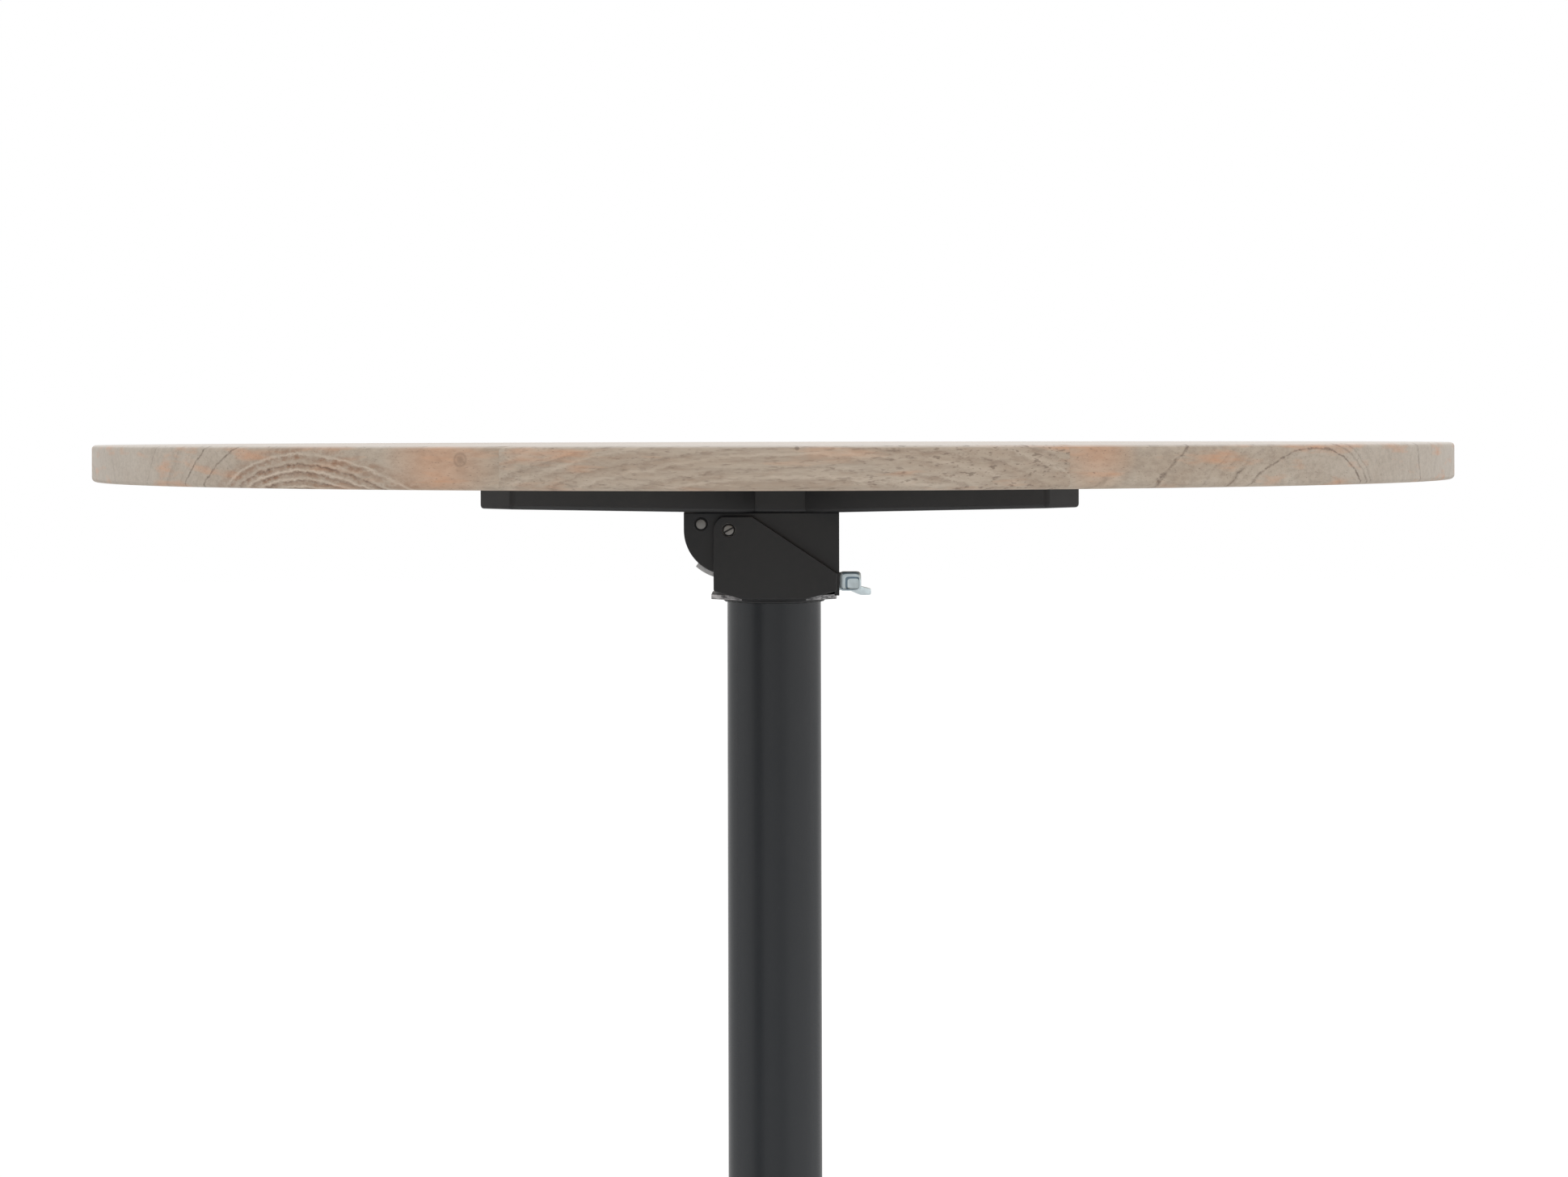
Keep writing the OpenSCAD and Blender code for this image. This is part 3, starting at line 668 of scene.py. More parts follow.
STRIP = {"rings": (90.0, 4.2, 4.4), "wobble": 3.5, "core": (0.28, 0.28), "lines": 0.12, "dashes": 0.5}
WIDE = {"rings": (47.0, 4.2, 11.5), "lines": 0.25}
CHARACTER = [
    {**STRIP, "knots": (DOT,)},
    {**WIDE, "rings": (61.0, 4.2, 11.5), "wobble": 2.5, "core": (1.35, -0.1), "marks": MARKS,
     "knots": (KNOT,), "stains": ((-165, -391, 742, 34, 0.4), (162, -393, 748, 24, 0.4))},
    WIDE, WIDE, WIDE, STRIP,
]
for i, (pith, character) in enumerate(zip(PITHS, CHARACTER)):
    grain = wood(f"Oiled wood {i + 1}", pith, seed=20.0 * i, **character)
    piece(f"board_{i + 1}", board(SEAMS[i], SEAMS[i + 1]), [f"plank_{i + 1}"], grain)

# %% [markdown]
# ## Coated metal
#
# The frame is powder coated: a dull skin with a fine orange-peel relief, a
# little dust and some rubbed places. One even black would look like plastic, so
# three noises vary it. The column has a smoother, bluer coat.

# %% Coated metal
def coat(name, colour, roughness, peel, dust):
    """Powder coat with a fine relief, uneven gloss and a trace of dust."""
    made, tree, shader, place = blank(name)
    cloud = noise(tree, place, (30, 30, 30), 4.0, 0.6, 1.0)
    grit = noise(tree, place, (900, 900, 900), 2.0, 0.5, 2.0)
    speck = noise(tree, place, (420, 420, 420), 2.0, 0.5, 3.0)
    speck = ramp(tree, speck, (0.66, 0.0), (0.78, 1.0))
    shade = mix(tree, ramp(tree, cloud, (0.35, 0.0), (0.68, dust)), colour, seen(120, 118, 114))
    shade = mix(tree, times(tree, speck, dust), shade, seen(150, 148, 144))
    gloss = ramp(tree, cloud, (0.3, roughness - 0.05), (0.7, roughness + 0.05))
    normal = relief(tree, grit, peel, 0.5)
    feed(tree, shader, {"Base Color": shade, "Roughness": gloss, "Normal": normal})
    return made


BLACK = coat("Black coat", (0.0194, 0.0198, 0.0210, 1), 0.44, 0.05, 0.012)
CHARCOAL = coat("Charcoal coat", (0.0185, 0.0210, 0.0245, 1), 0.21, 0.010, 0.008)
print("two coats made")

# %% [markdown]
# ## Bare metal and plastic
#
# Zinc plating is bright with a cold cast and cloudy gloss. As a full metal it would
# mirror the dark head and look black, so it keeps some plain white. The pins are
# darker steel. The sawn edge of the head plate lost most of its paint, so pale
# primer shows through in patches.

# %% Bare metal and plastic
def metal(name, colour, roughness, spread, metallic=1.0):
    """Plated or bare metal with cloudy gloss."""
    made, tree, shader, place = blank(name)
    cloud = noise(tree, place, (170, 170, 170), 4.0, 0.6, 5.0)
    fine = noise(tree, place, (700, 700, 700), 3.0, 0.6, 6.0)
    dull = tuple(0.7 * value for value in colour[:3]) + (1,)
    shade = mix(tree, ramp(tree, cloud, (0.40, 0.0), (0.72, 0.5)), colour, dull)
    gloss = ramp(tree, cloud, (0.3, roughness - spread), (0.7, roughness + spread))
    normal = relief(tree, fine, 0.1, 0.4)
    feed(tree, shader, {"Base Color": shade, "Metallic": metallic, "Roughness": gloss, "Normal": normal})
    return made


def plastic(name, colour, roughness):
    """Moulded plastic with a faint grain."""
    made, tree, shader, place = blank(name)
    grain = noise(tree, place, (500, 500, 500), 3.0, 0.6, 8.0)
    scuff = noise(tree, place, (60, 60, 60), 4.0, 0.6, 9.0)
    shade = mix(tree, ramp(tree, scuff, (0.5, 0.0), (0.8, 0.15)), colour, seen(140, 138, 134))
    normal = relief(tree, grain, 0.04, 0.4)
    feed(tree, shader, {"Base Color": shade, "Roughness": roughness, "Normal": normal})
    return made


def worn_edge(name):
    """A cut edge with pale primer showing through thin paint."""
    made, tree, shader, place = blank(name)
    patch = noise(tree, place, (150, 150, 420), 4.0, 0.7, 4.0)
    outward = maths(tree, "ABSOLUTE", axes(tree, place)[0])
    corner = ramp(tree, maths(tree, "DIVIDE", outward, 0.04), (0.45, 0.2), (0.82, 1.0))
    bare = times(tree, ramp(tree, patch, (0.38, 0.0), (0.56, 1.0)), corner)
    shade = mix(tree, bare, seen(78, 77, 80), seen(212, 210, 211))
    normal = relief(tree, patch, 0.3, 0.6)
    feed(tree, shader, {"Base Color": shade, "Roughness": 0.6, "Normal": normal})
    return made


ZINC = metal("Zinc plate", (0.84, 0.96, 1.0, 1), 0.34, 0.08, 0.6)
# A darker zinc, used as painted shade on the wing screw.
SHADED_ZINC = metal("Zinc in painted shade", (0.24, 0.33, 0.40, 1), 0.5, 0.06, 0.6)
STEEL = metal("Pin steel", (0.36, 0.35, 0.335, 1), 0.48, 0.06)
NYLON = plastic("Nylon", seen(214, 211, 202), 0.45)
RUBBER = plastic("Black plastic", seen(38, 38, 40), 0.5)
WORN = worn_edge("Worn cut edge")
RUBBED = metal("Rubbed drum", (0.62, 0.62, 0.62, 1), 0.45, 0.08, 0.4)
FINISH = {
    "black_coat": BLACK, "charcoal_coat": CHARCOAL, "steel_pin": STEEL,
    "zinc": ZINC, "nylon": NYLON, "black_plastic": RUBBER,
}
print("finishes:", sorted(FINISH))

# %% [markdown]
# ## Hub of the cross
#
# Under the top sits a cross of pressed sheet. Its middle is an eight-sided box,
# whose slanting sides are just as wide as the arms that are welded to them. A
# drawn outline gives those widths, where a plain eight-sided cylinder would not.

# %% Hub of the cross
HUB_HALF = 38.0
ARM_HALF = 15.5
HUB_FLAT = HUB_HALF - ARM_HALF * math.sqrt(2)
CROSS_LOW = corners("cross_hub")[0].z
octagon = [
    (HUB_HALF, -HUB_FLAT), (HUB_HALF, HUB_FLAT), (HUB_FLAT, HUB_HALF), (-HUB_FLAT, HUB_HALF),
    (-HUB_HALF, HUB_FLAT), (-HUB_HALF, -HUB_FLAT), (-HUB_FLAT, -HUB_HALF), (HUB_FLAT, -HUB_HALF),
]
hub = plate(rounded([(x, y, 2.6) for x, y in octagon]), [], CROSS_LOW, WOOD_LOW, 2.3, steps=6)
piece("cross_box", moved(hub, at(CROSS_X, 0, 0)), ["cross_hub"], BLACK)

# %% [markdown]
# ## Arms of the cross
#
# An arm is a channel of bent sheet, open towards the wood. Its floor runs level
# for a short way and then rises to a thinner tip. A stretched box would stretch its
# edges too, so a row of sections describes it: each has a width, a floor height
# and the same bend along the lower edges.

# %% Arms of the cross
ARM_START = 38.24
ARM_REACH = 234.0
TAPER_START = 50.0
DEEP = WOOD_LOW - CROSS_LOW
SHALLOW = 15.5
BEND = 2.3
TIP_ROUND = 3.0
TIP_LIFT = 0.2


def depth_at(u):
    """How far the cross hangs below the wood at a distance from its centre."""
    share = max(0.0, (u - TAPER_START) / (ARM_REACH - TAPER_START))
    return DEEP - (DEEP - SHALLOW) * share


def channel_section(u, half, floor, bend, top, steps=6):
    """A section across an arm, from one top edge round the floor to the other."""
    points = [(-half, top), (-half, floor + bend)]
    turns = [math.pi / 2 * k / steps for k in range(1, steps + 1)]
    points += [(-half + bend - bend * math.cos(t), floor + bend - bend * math.sin(t)) for t in turns]
    points += [(-y, z) for y, z in reversed(points)]
    return [Vector((u, y, z)) for y, z in points]


def rounded_tip(stations, reach, radius):
    """Stations along an arm and round its tip, each with how far the sides draw in."""
    stations = stations + [reach - radius * (1 - math.sin(math.pi / 2 * k / 8)) for k in range(9)]
    past = [max(0.0, u - (reach - radius)) for u in stations]
    return [(u, radius - math.sqrt(radius ** 2 - p ** 2)) for u, p in zip(stations, past)]


def arm():
    """One arm of the cross, pointing along X."""
    stations = [ARM_START, TAPER_START - 3, TAPER_START, TAPER_START + 3, 90, 130, 170, 210]
    sections = []
    for u, pull in rounded_tip(stations, ARM_REACH, TIP_ROUND):
        floor = WOOD_LOW - depth_at(u) + TIP_LIFT * pull
        sections.append(channel_section(u, ARM_HALF - pull, floor, BEND, WOOD_LOW))
    return loft(sections)


for i in range(4):
    place = at(CROSS_X, 0, 0, 90 * i + 45)
    piece(f"arm_{i + 1}", moved(arm(), place), [f"cross_arm_{(i + 1) % 4 + 1}"], BLACK)

# %% [markdown]
# ## Bolts under the arms
#
# Two bolts in each arm pull the top down on it. Their heads are countersunk
# and lie level with the sheet, so from the side they are not seen. Each head is
# tipped a little to follow the taper of the arm. The socket is hexagonal, so the
# lathe profile ends in two six-sided rings.

# %% Bolts under the arms
def sunk_head():
    """A countersunk bolt head that points down, its face at height 0."""
    return turned([
        (0, 2.2), (3.0, 2.2), (5.2, 0.3), (5.2, 0.1), (5.05, 0.0), (2.6, 0.0),
        (2.3, 0.25, 6), (2.3, 1.9, 6), (0, 2.0),
    ])


BOLTS_AT = (95.0, 200.0)
PROUD = 0.06
heads = []
TAPER = math.degrees(math.atan2(DEEP - SHALLOW, ARM_REACH - TAPER_START))
for i in range(4):
    for u in BOLTS_AT:
        place = at(CROSS_X, 0, 0, 90 * i + 45)
        heads.append(moved(sunk_head(), place @ at(u, 0, WOOD_LOW - depth_at(u) - PROUD, -TAPER, "Y")))
piece("top_bolt_heads", merged(*heads), ["top_bolts"], ZINC)

# %% [markdown]
# ## Upper yoke
#
# The upper half of the hinge is a strip bent into an upside-down U that hangs
# from the hub, with a quarter round on the hinge side. It could be cut from a box,
# but a loft keeps the bends clean: its sections run along X, and the skirt of each
# ends where the outline says.

# %% Upper yoke
YOKE_HALF = 35.0
SHEET = 3.0
ARC = 28.4
YOKE_RIGHT = 41.3
SKIRT_LOW = corners("upper_yoke")[0].z
YOKE_TOP = corners("upper_yoke")[1].z
BEND_OUT = 0.9
BORE = 4.3


def yoke_section(x, low):
    """A U-shaped section across the yoke, its two skirts ending at a height."""
    turns = [math.pi / 2 * k / 6 for k in range(7)]
    outer = [(-YOKE_HALF, low + 0.5), (-YOKE_HALF, YOKE_TOP - BEND_OUT)]
    for t in turns[1:]:
        outer.append((-YOKE_HALF + BEND_OUT * (1 - math.cos(t)), YOKE_TOP - BEND_OUT * (1 - math.sin(t))))
    inside = YOKE_HALF - SHEET
    inner = [(-inside, YOKE_TOP - SHEET), (-inside, low + 0.5)]
    inner += [(-inside - 0.5, low), (-YOKE_HALF + 0.5, low)]
    loop = outer + [(0, YOKE_TOP)] + [(-y, z) for y, z in reversed(outer)]
    loop += [(-y, z) for y, z in reversed(inner)] + [(0, YOKE_TOP - SHEET)] + inner
    return [Vector((x, y, z)) for y, z in loop]


def yoke_low(x):
    """Where the skirt ends at a distance along X."""
    dx = x - PIVOT.x
    if dx >= 0:
        return SKIRT_LOW
    return max(SKIRT_LOW, PIVOT.z - math.sqrt(max(0.0, ARC ** 2 - dx ** 2)))


stations = [PIVOT.x - ARC * math.cos(math.pi / 2 * k / 26) for k in range(20)]
stations += [PIVOT.x - 8.5, PIVOT.x, 0.0, YOKE_RIGHT - 0.6]
yoke = loft([yoke_section(x, yoke_low(x)) for x in stations] + [yoke_section(YOKE_RIGHT, SKIRT_LOW + 0.3)])
STOP_PIN = PIVOT + Vector((-17.5, 0, 3.6))
drill = turned([(0, -60), (BORE, -60), (BORE, 60), (0, 60)])
piece("yoke_sheet", drilled(yoke, moved(drill, at(*STOP_PIN, 90, "X"))), ["upper_yoke"], BLACK)

end = rounded([(-32, SKIRT_LOW, 0.8), (32, SKIRT_LOW, 0.8), (32, YOKE_TOP - 3, 0), (-32, YOKE_TOP - 3, 0)])
piece("yoke_end", moved(plate(end, [], 38.3, YOKE_RIGHT, 0.4), LYING_X), ["end_plate"], BLACK)

# %% [markdown]
# ## Lower cheeks
#
# Two flat cheeks stand on the head plate and hold the hinge pin between them.
# Each is a plate with a hole. The outline follows the hinge corner, the level
# top, the long slope and the two cut corners at the foot.

# %% Lower cheeks
CHEEK_IN = 36.0
CHEEK_OUT = 39.0
arc = [math.radians(180 - 63.6 * k / 12) for k in range(13)]
cheek = [(9.6 * math.cos(t), 9.6 * math.sin(t), 0) for t in arc]
cheek += [
    (14.8, 8.6, 2.0), (68.2, -27.1, 1.5), (68.2, -38.5, 1.5),
    (48.7, -43.6, 1.5), (8.1, -43.6, 1.5), (-9.6, -38.5, 1.5),
]
outline = [p + Vector((PIVOT.x, PIVOT.z)) for p in rounded(cheek)]
bore = circle(PIVOT.x, PIVOT.z, BORE)
for name, part, low, high in (
    ("front_cheek", "cheek_front", -CHEEK_OUT, -CHEEK_IN),
    ("back_cheek", "cheek_rear", CHEEK_IN, CHEEK_OUT),
):
    piece(name, moved(plate(outline, [bore], low, high, 0.7, steps=6), LYING_Y), [part], BLACK)

# %% [markdown]
# ## Head plate and screw plate
#
# The head plate closes the column and carries the cheeks. Its four corners are
# cut off, and there the paint on the edge is worn, so those faces take a second
# finish. The small upright plate holds the wing screw.

# %% Head plate and screw plate
plate_low, plate_high = corners("head_plate")
corner = [(40, 16.3), (20.3, 36)]
ring = rounded([(x * sx, y * sy, 0.6) for sx, sy, pair in (
    (1, 1, corner), (-1, 1, corner[::-1]), (-1, -1, corner), (1, -1, corner[::-1])) for x, y in pair])
head = plate(ring, [], plate_low.z + 0.8, plate_high.z, 0.35)
head = piece("head_sheet", head, ["head_plate"], BLACK)
head.data.materials.append(WORN)
worn = 0
for face in head.data.polygons:
    if abs(face.normal.z) < 0.5 and abs(face.normal.x) > 0.3 and abs(face.normal.y) > 0.3:
        face.material_index = 1
        worn += 1
print("worn faces on the head plate:", worn)

SCREW_Z = 661.1
sp_low, sp_high = corners("screw_plate")
strip = rounded([(-36, sp_low.z, 0.5), (36, sp_low.z, 0.5), (36, sp_high.z, 0.5), (-36, sp_high.z, 0.5)])
piece(
    "screw_strip", moved(plate(strip, [circle(0, SCREW_Z, BORE)], sp_low.x, sp_high.x, 0.3), LYING_X),
    ["screw_plate"], BLACK)

# %% [markdown]
# ## Pins
#
# The hinge pin and the stop pin are steel rods. Their ends are a little thinner
# than their holes, which leaves a dark ring round each face. The hinge pin has a
# screwdriver slot, cut out with a thin block. All that lies deeper, inside the
# holes and the slot, takes the black finish as painted shade.

# %% Pins
def pin(half, face=3.2, step=2.8):
    """A pin along Y with thinner, softly rounded ends."""
    end = [(0, half), (face - 0.5, half), (face - 0.15, half - 0.15), (face, half - 0.5)]
    end += [(face, half - step), (4.0, half - step)]
    profile = end + [(r, -h) for r, h in reversed(end)]
    return moved(turned(profile), at(0, 0, 0, 90, "X"))


slots = []
for side in (-1, 1):
    block = bmesh.new()
    bmesh.ops.create_cube(block, size=1.0, matrix=Matrix.Diagonal((12, 3.0, 1.1, 1)))
    slots.append(moved(block, at(0, side * CHEEK_OUT, 0, -28, "Y")))
hinge = drilled(pin(CHEEK_OUT), merged(*slots))
hinge = piece("hinge_pin", moved(hinge, at(*PIVOT)), ["pivot_pin"], STEEL)
stop = piece("stop_rod", moved(pin(YOKE_HALF), at(*STOP_PIN)), ["stop_pin"], STEEL)
# Painted shade: faces deeper than the ends, inside the holes and the slot, take the black coat.
for rod, half in ((hinge, CHEEK_OUT), (stop, YOKE_HALF)):
    rod.data.materials.append(BLACK)
    for face in rod.data.polygons:
        if abs(face.center.y) < (half - 1.2) * MILLIMETRE:
            face.material_index = 1

# %% [markdown]
# ## Column
#
# The column is a plain steel tube. A rough fillet weld joins it to the head
# plate, and a socket and a chamfered collar hold it in the base. All of it is
# round, so the lathe makes it, with many sides to keep the reflections straight.

# %% Column
TUBE_OUT = 30.15
TUBE_IN = 27.15
tube_low, tube_high = corners("column_tube")
tube = turned([
    (TUBE_OUT, tube_low.z), (TUBE_OUT, tube_high.z), (TUBE_IN, tube_high.z), (TUBE_IN, tube_low.z),
], closed=True, steps=128)
piece("column", tube, ["column_tube"], CHARCOAL)

weld = merged(bead(31.2, 649.6, 1.3, 34), bead(32.2, 650.0, 0.7, 23))
piece("head_bead", weld, ["head_weld"], BLACK)

socket_low, socket_high = corners("base_socket")
sleeve = rounded([
    (30.35, socket_low.z, 0), (35.0, socket_low.z, 0.8),
    (35.0, socket_high.z, 0.8), (30.35, socket_high.z, 0),
], steps=4)
piece("column_sleeve", turned(sleeve, closed=True, steps=96), ["base_socket"], BLACK)

collar_low, collar_high = corners("column_collar")
band = rounded([
    (30.5, collar_low.z, 0), (37.0, collar_low.z, 0.5), (37.0, collar_high.z - 2, 0.6),
    (35.0, collar_high.z, 0.6), (30.5, collar_high.z, 0),
], steps=4)
piece("column_ring", turned(band, closed=True, steps=96), ["column_collar"], BLACK)

# %% [markdown]
# ## Base arms
#
# Four wide channels, open below, form the foot. They are drawn as a thin skin
# that gets the thickness of the sheet from a modifier, so that the inside is
# right when the table is seen from below. The first section is bent to the round
# of the socket, where the arm is welded on.

# %% Base arms
BASE_HALF = 23.0
BASE_REACH = 310.0
BASE_LOW = 12.0
BASE_START = 35.2
ROOT_TOP = 58.0
TIP_TOP = 39.0
BASE_BEND = 5.0
BASE_TIP_ROUND = 6.0


def base_arm():
    """One arm of the base, pointing along X."""
    sections = []
    for u, pull in rounded_tip([BASE_START, 80, 130, 180, 230, 280], BASE_REACH, BASE_TIP_ROUND):
        top = ROOT_TOP - (ROOT_TOP - TIP_TOP) * (u - BASE_START) / (BASE_REACH - BASE_START)
        flat = channel_section(u, BASE_HALF - pull, -(top - 0.5 * pull), BASE_BEND, -BASE_LOW)
        sections.append([Vector((p.x, p.y, -p.z)) for p in flat])
    for point in sections[0]:
        point.x = math.sqrt(BASE_START ** 2 - point.y ** 2)
    return loft(sections, closed=False, caps=(False, True))


for i in range(4):
    place = at(0, 0, 0, 90 * i + 45)
    piece(f"foot_{i + 1}", moved(base_arm(), place), [f"base_arm_{(i + 1) % 4 + 1}"], BLACK, sheet=3.0)

# %% [markdown]
# ## Levelling glides
#
# Each foot stands on a round pad with a threaded stem. The hexagon above the pad
# is where a spanner turns it. Rings stand in for the thread, which is finer than
# the eye can follow here.

# %% Levelling glides
def thread(radius, low, high, pitch=1.25):
    """Rings of a thread, close enough to read as one at this size."""
    points = []
    height = low
    while height < high - pitch:
        points += [(radius, height), (radius, height + 0.3 * pitch), (radius - 0.5, height + 0.65 * pitch)]
        height += pitch
    return points


for i in range(4):
    pad_low, pad_high = corners(f"glide_pad_{i + 1}")
    centre = (pad_low + pad_high) / 2
    place = at(centre.x, centre.y, 0)
    profile = rounded([
        (0, 0, 0), (15.0, 0, 0.8), (15.0, 4.5, 0.8), (13.5, 6.0, 0.5), (8.0, 6.0, 0.4),
        (8.0, 10.0, 0.6), (4.1, 10.0, 0),
    ], closed=False, steps=3)
    pad = turned(profile + [(4.1, 3.0), (0, 3.0)])
    piece(f"pad_{i + 1}", moved(pad, place), [f"glide_pad_{i + 1}"], RUBBER)
    top = corners(f"glide_stem_{i + 1}")[1].z
    stem = [(0, 3.1), (3.9, 3.1), (3.9, 10.02), (6.9, 10.02), (7.5, 10.5, 6), (7.5, 13.5, 6), (6.9, 14.0)]
    stem += [(3.6, 14.0)] + thread(3.95, 14.3, top - 0.6) + [(3.4, top), (0, top)]
    piece(f"stem_{i + 1}", moved(turned(stem), place), [f"glide_stem_{i + 1}"], ZINC)

# %% [markdown]
# ## Wing screw
#
# The cast wing screw pinches the hinge. Two stubby wings grow out of its hub, the
# far one bent down and outwards. A casting has no sharp edge, so each wing is a
# loft of soft squares, and the near one ends in a dish, low on its face. The wall
# of the dish and the lower edge take a darker zinc, as painted shade.

# %% Wing screw
def soft_square(centre, along, up, half_a, half_b, power=0.42, steps=28):
    """A rounded square about a centre, spanned by two directions."""
    points = []
    for k in range(steps):
        t = 2 * math.pi * k / steps
        c, s = math.cos(t), math.sin(t)
        a = math.copysign(abs(c) ** power, c) * half_a
        b = math.copysign(abs(s) ** power, s) * half_b
        points.append(centre + along * a + up * b)
    return points


def wing(root, tip, along, up, root_size, tip_size, dish, aside=0.0, drop=0.0):
    """A cast wing from the hub to a dished end. The dish may sit off the middle."""
    sections = []
    for k in range(9):
        t = k / 8
        grow = t * t * (3 - 2 * t)
        size = [a + (b - a) * grow for a, b in zip(root_size, tip_size)]
        sections.append(soft_square(root.lerp(tip, t), along, up, *size))
    out = (tip - root).normalized()
    for push, share in ((0.35, 0.97), (0.6, 0.87), (0.6, 0.70), (0.6 - dish, 0.57), (0.6 - dish, 0.3)):
        middle = tip + out * push + (along * aside - up * drop) * (1 - share)
        sections.append(soft_square(middle, along, up, tip_size[0] * share, tip_size[1] * share))
    return loft(sections)


body = turned([
    (0, 13.9), (3.4, 13.9), (3.9, 14.6), (3.9, 41.4), (5.4, 41.6), (5.85, 42.0), (5.85, 42.9), (6.0, 43.4),
    (6.33, 44.2), (6.33, 53.2), (6.1, 54.6), (5.4, 55.6), (4.2, 56.0), (0, 56.1),
])
body = moved(body, at(0, 0, 0, 90, "Y"))
x_way, z_way = Vector((1, 0, 0)), Vector((0, 0, 1))
root, tip = Vector((48.1, -3, 0.6)), Vector((48.3, -16.0, 1.0))
near = wing(root, tip, x_way, z_way, (6.3, 5.4), (6.5, 5.8), 1.5, 5.5, 4.4)
root, bent_tip = Vector((50.0, 4, -4.0)), Vector((58.9, 15.2, -7.6))
far = wing(root, bent_tip, x_way, z_way, (4.0, 1.6), (4.0, 2.3), 0.3)
screw = moved(merged(body, near, far), at(0, 0, SCREW_Z))
cast = piece("wing_screw_cast", screw, ["wing_screw"], ZINC, sharp=60)
# Painted shade: a darker zinc on the wall of the dish and on the lower edge.
cast.data.materials.append(SHADED_ZINC)
dull = 0
for face in cast.data.polygons:
    x, y, z = face.center / MILLIMETRE - tip
    in_dish = -0.55 < y and -4.3 < x < 6.0
    if y < 0.7 and (in_dish or z < SCREW_Z - 4.9):
        face.material_index = 1
        dull += 1
print("dull faces on the wing screw:", dull)

# %% [markdown]
# ## Hidden hardware
#
# Sleeves, inserts, bushes, clips, nuts, the clamp and the stop plate are seen
# only from below or with the top tipped up. The parts of the frame already have
# their true shape, so they keep it and only take a finish. The clamp has rubbed
# the drum bare, and its pale lip shows under the round corner of the yoke.

# %% Hidden hardware
kept = 0
for name, part in PARTS.items():
    if not part.hide_render:
        part.data.materials[0] = RUBBED if name == "clamp_drum" else FINISH[SLOT_OF[name]]
        kept += 1
print("parts of the frame that show themselves:", kept)

# %% [markdown]
# ## Floor and surroundings
#
# The floor is pale and plain. To the camera it glows almost white, with enough
# of its own shade left to keep the table's shadow. A dark coat shows little but
# what it mirrors, so the surroundings and the far floor have levels that change
# with the direction. A dark gap in front gives the round column its soft stripes.

# %% Floor and surroundings
FLOOR_HALF = 12.0
AMBIENT = 0.60
bm = bmesh.new()
bmesh.ops.create_grid(bm, x_segments=1, y_segments=1, size=FLOOR_HALF)
floor = linked("floor", as_mesh(bm, "floor"))
floor.location.z = -0.0005


def around(tree, x, y, levels):
    """A level that follows the direction (x, y), counted in degrees from the front."""
    turn = maths(tree, "ARCTAN2", x, times(tree, y, -1))
    turn = scaled(tree, turn, 1 / (2 * math.pi), 0.5)
    return ramp(tree, turn, *[(degrees / 360 + 0.5, level) for degrees, level in levels])


FLOOR_LEVELS = (
    (-180, 0.62), (-126, 0.55), (-104, 0.60), (-86, 0.74), (-70, 0.72), (-56, 0.64), (-46, 0.32),
    (-33, 0.30), (-24, 0.58), (-6, 0.60), (18, 0.52), (43, 0.78), (70, 0.80), (103, 0.76),
    (125, 0.52), (180, 0.50),
)
WORLD_LEVELS = (
    (-180, 1.0), (-128, 0.92), (-88, 0.92), (-60, 0.74), (-48, 0.30), (-33, 0.30), (-22, 0.72),
    (0, 0.66), (14, 0.64), (40, 0.85), (70, 1.1), (120, 1.1), (180, 1.0),
)
made, tree, shader, place = blank("Studio floor")
mottle = noise(tree, place, (3, 3, 3), 3.0, 0.5, 1.0)
shade = mix(tree, mottle, (0.86, 0.86, 0.86, 1), (0.90, 0.90, 0.90, 1))
matt = add(tree, "BsdfDiffuse", {"Color": shade}).outputs[0]
glow = add(tree, "Emission", {"Color": (1, 1, 1, 1), "Strength": 1.08}).outputs[0]
away = add(tree, "VectorMath", {0: place}, operation="LENGTH").outputs[1]
away = maths(tree, "DIVIDE", away, 4.0)
near = ramp(tree, away, (0.10, 0.45), (0.50, 1.0))
path = add(tree, "LightPath").outputs
to_camera = times(tree, path["Is Camera Ray"], near)
blend = add(tree, "MixShader", {0: to_camera, 1: matt, 2: glow}).outputs[0]
xyz = axes(tree, place)
mirrored = add(tree, "Emission", {"Strength": around(tree, xyz[0], xyz[1], FLOOR_LEVELS)}).outputs[0]
far_off = ramp(tree, away, (0.05, 0.0), (0.20, 1.0))
in_mirror = times(tree, path["Is Glossy Ray"], far_off)
blend = add(tree, "MixShader", {0: in_mirror, 1: blend, 2: mirrored}).outputs[0]
tree.links.new(blend, tree.nodes["Material Output"].inputs["Surface"])
floor.data.materials.append(made)

world = bpy.data.worlds.new("Studio")
bpy.context.scene.world = world
world.use_nodes = True
world.cycles.sampling_method = "NONE"
tree = world.node_tree
way = axes(tree, add(tree, "TexCoord").outputs["Generated"])
path = add(tree, "LightPath").outputs
strength = scaled(tree, path["Is Camera Ray"], 1 - AMBIENT, AMBIENT)
strength = scaled(tree, path["Is Transmission Ray"], 1 - AMBIENT, strength)
gain = maths(tree, "SUBTRACT", around(tree, way[0], way[1], WORLD_LEVELS), AMBIENT)
strength = scaled(tree, path["Is Glossy Ray"], gain, strength)
tree.links.new(strength, tree.nodes["Background"].inputs["Strength"])
tree.nodes["Background"].inputs["Color"].default_value = (1, 1, 1, 1)
print("floor and world ready, ambient level", AMBIENT)

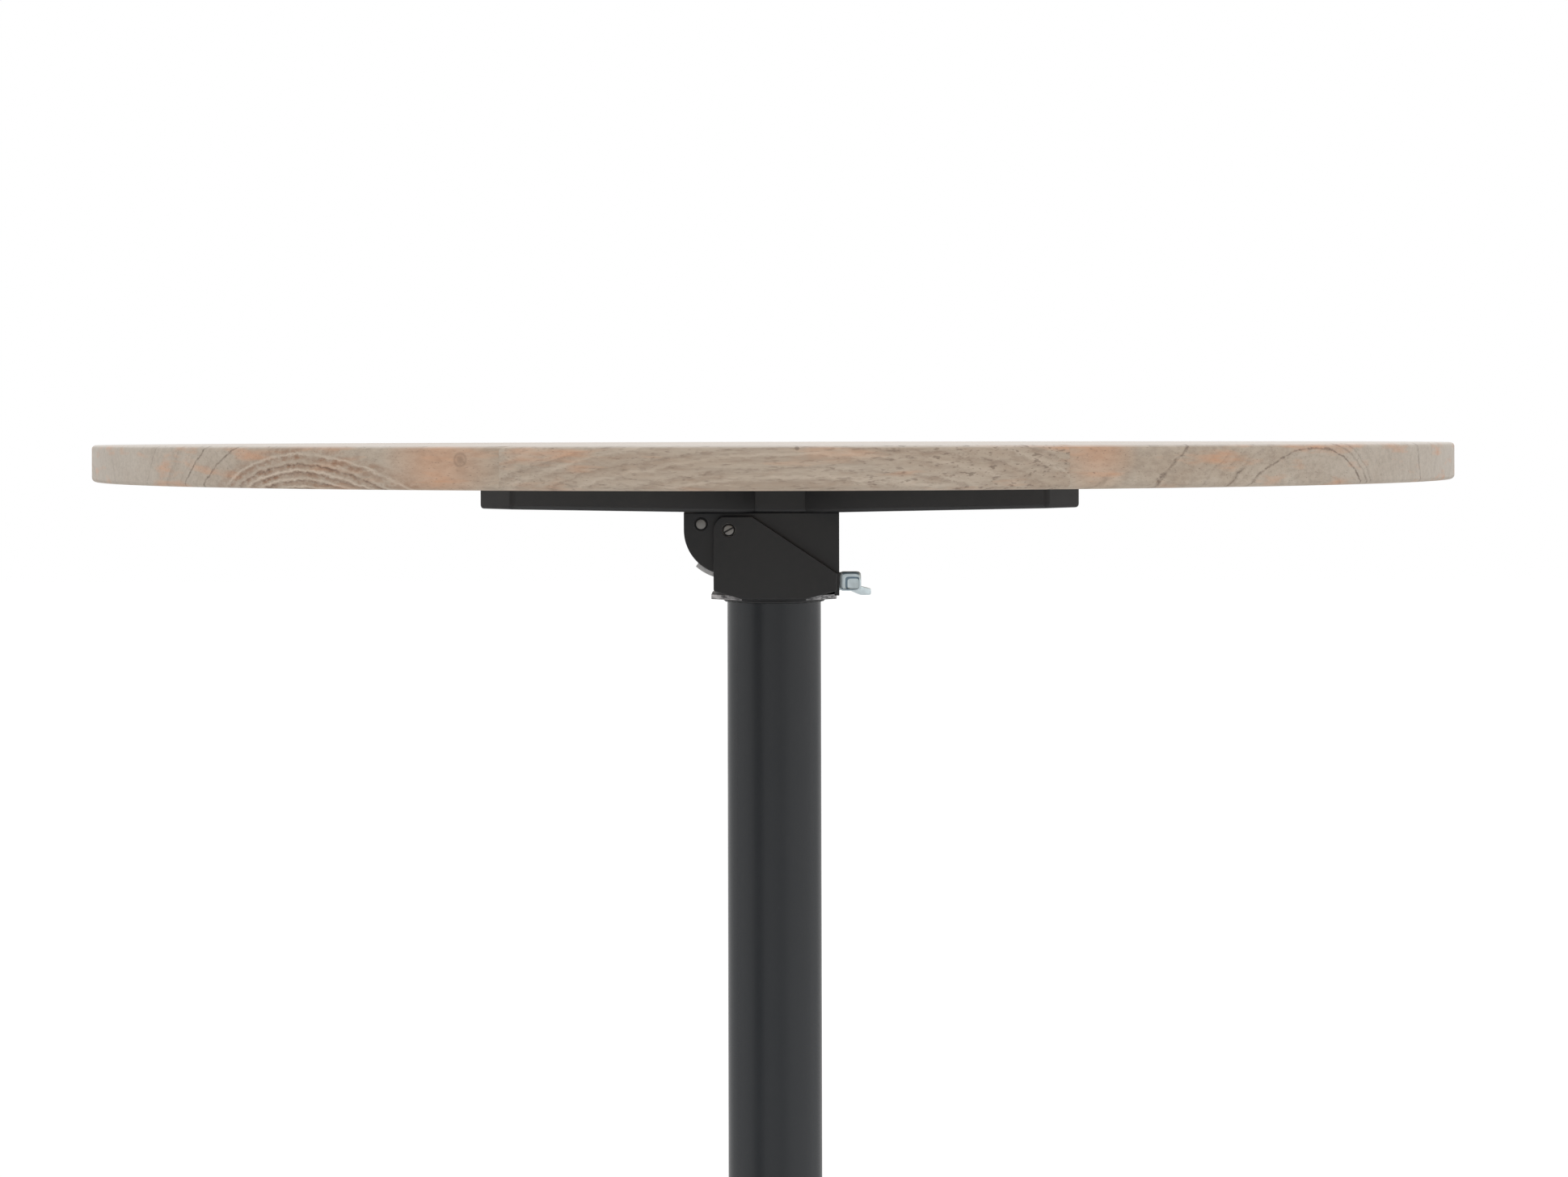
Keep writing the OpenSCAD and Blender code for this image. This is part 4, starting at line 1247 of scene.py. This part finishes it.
# %% [markdown]
# ## Lamps
#
# Four large soft lamps stand round the table, so that every side is lit alike.
# The helper works out the power for a wanted level: a white card that faces a
# lamp of level 1 would look fully white. Mirrors do not show the lamps.

# %% Lamps
LAMP_RISE = math.radians(28)
LAMP_AWAY = 3.2
LAMP_SIZE = 1.8
LAMP_LEVEL = 0.23
AIM = Vector((0, 0, 0.6))


def soft_lamp(name, azimuth):
    """A square lamp aimed at the table, with a level at the table's place."""
    turn = math.radians(azimuth)
    flat = LAMP_AWAY * math.cos(LAMP_RISE)
    up = LAMP_AWAY * math.sin(LAMP_RISE)
    place = AIM + Vector((flat * math.sin(turn), -flat * math.cos(turn), up))
    lamp = bpy.data.lights.new(name, "AREA")
    lamp.size = LAMP_SIZE
    lamp.energy = LAMP_LEVEL * math.pi ** 2 * LAMP_AWAY ** 2
    obj = linked(name, lamp)
    obj.location = place
    obj.rotation_euler = (AIM - place).to_track_quat("-Z", "Y").to_euler()
    obj.visible_glossy = False
    print(name, "gives", round(lamp.energy), "watts")


for place, azimuth in (("front_left", -45), ("front_right", 45), ("back_left", -135), ("back_right", 135)):
    soft_lamp("lamp_" + place, azimuth)

# %% [markdown]
# ## Camera
#
# The camera stands level with the table top, about 1.7 m away, and looks
# straight ahead. The picture plane is shifted down, which keeps the column
# upright. A very small roll matches the slight lean of the photograph.

# %% Camera
FOCAL_PIXELS = 3265.0
PICTURE_WIDTH = 1940.0
HORIZON_SHIFT = 188.4
ROLL = 0.13
camera = bpy.data.cameras.new("camera")
camera.sensor_width = 36.0
camera.lens = camera.sensor_width * FOCAL_PIXELS / PICTURE_WIDTH
camera.shift_y = -HORIZON_SHIFT / PICTURE_WIDTH
camera.dof.use_dof = False
viewer = linked("camera", camera)
viewer.location = (0.0066, -1.700, 0.7545)
viewer.rotation_euler = (math.radians(90), math.radians(ROLL), 0)
scene = bpy.context.scene
scene.camera = viewer
scene.view_settings.view_transform = "Standard"
print("lens", round(camera.lens, 2), "mm, shift", round(camera.shift_y, 4))

# %% [markdown]
# ## Finishing
#

# %% Finishing
bpy.context.view_layer.update()
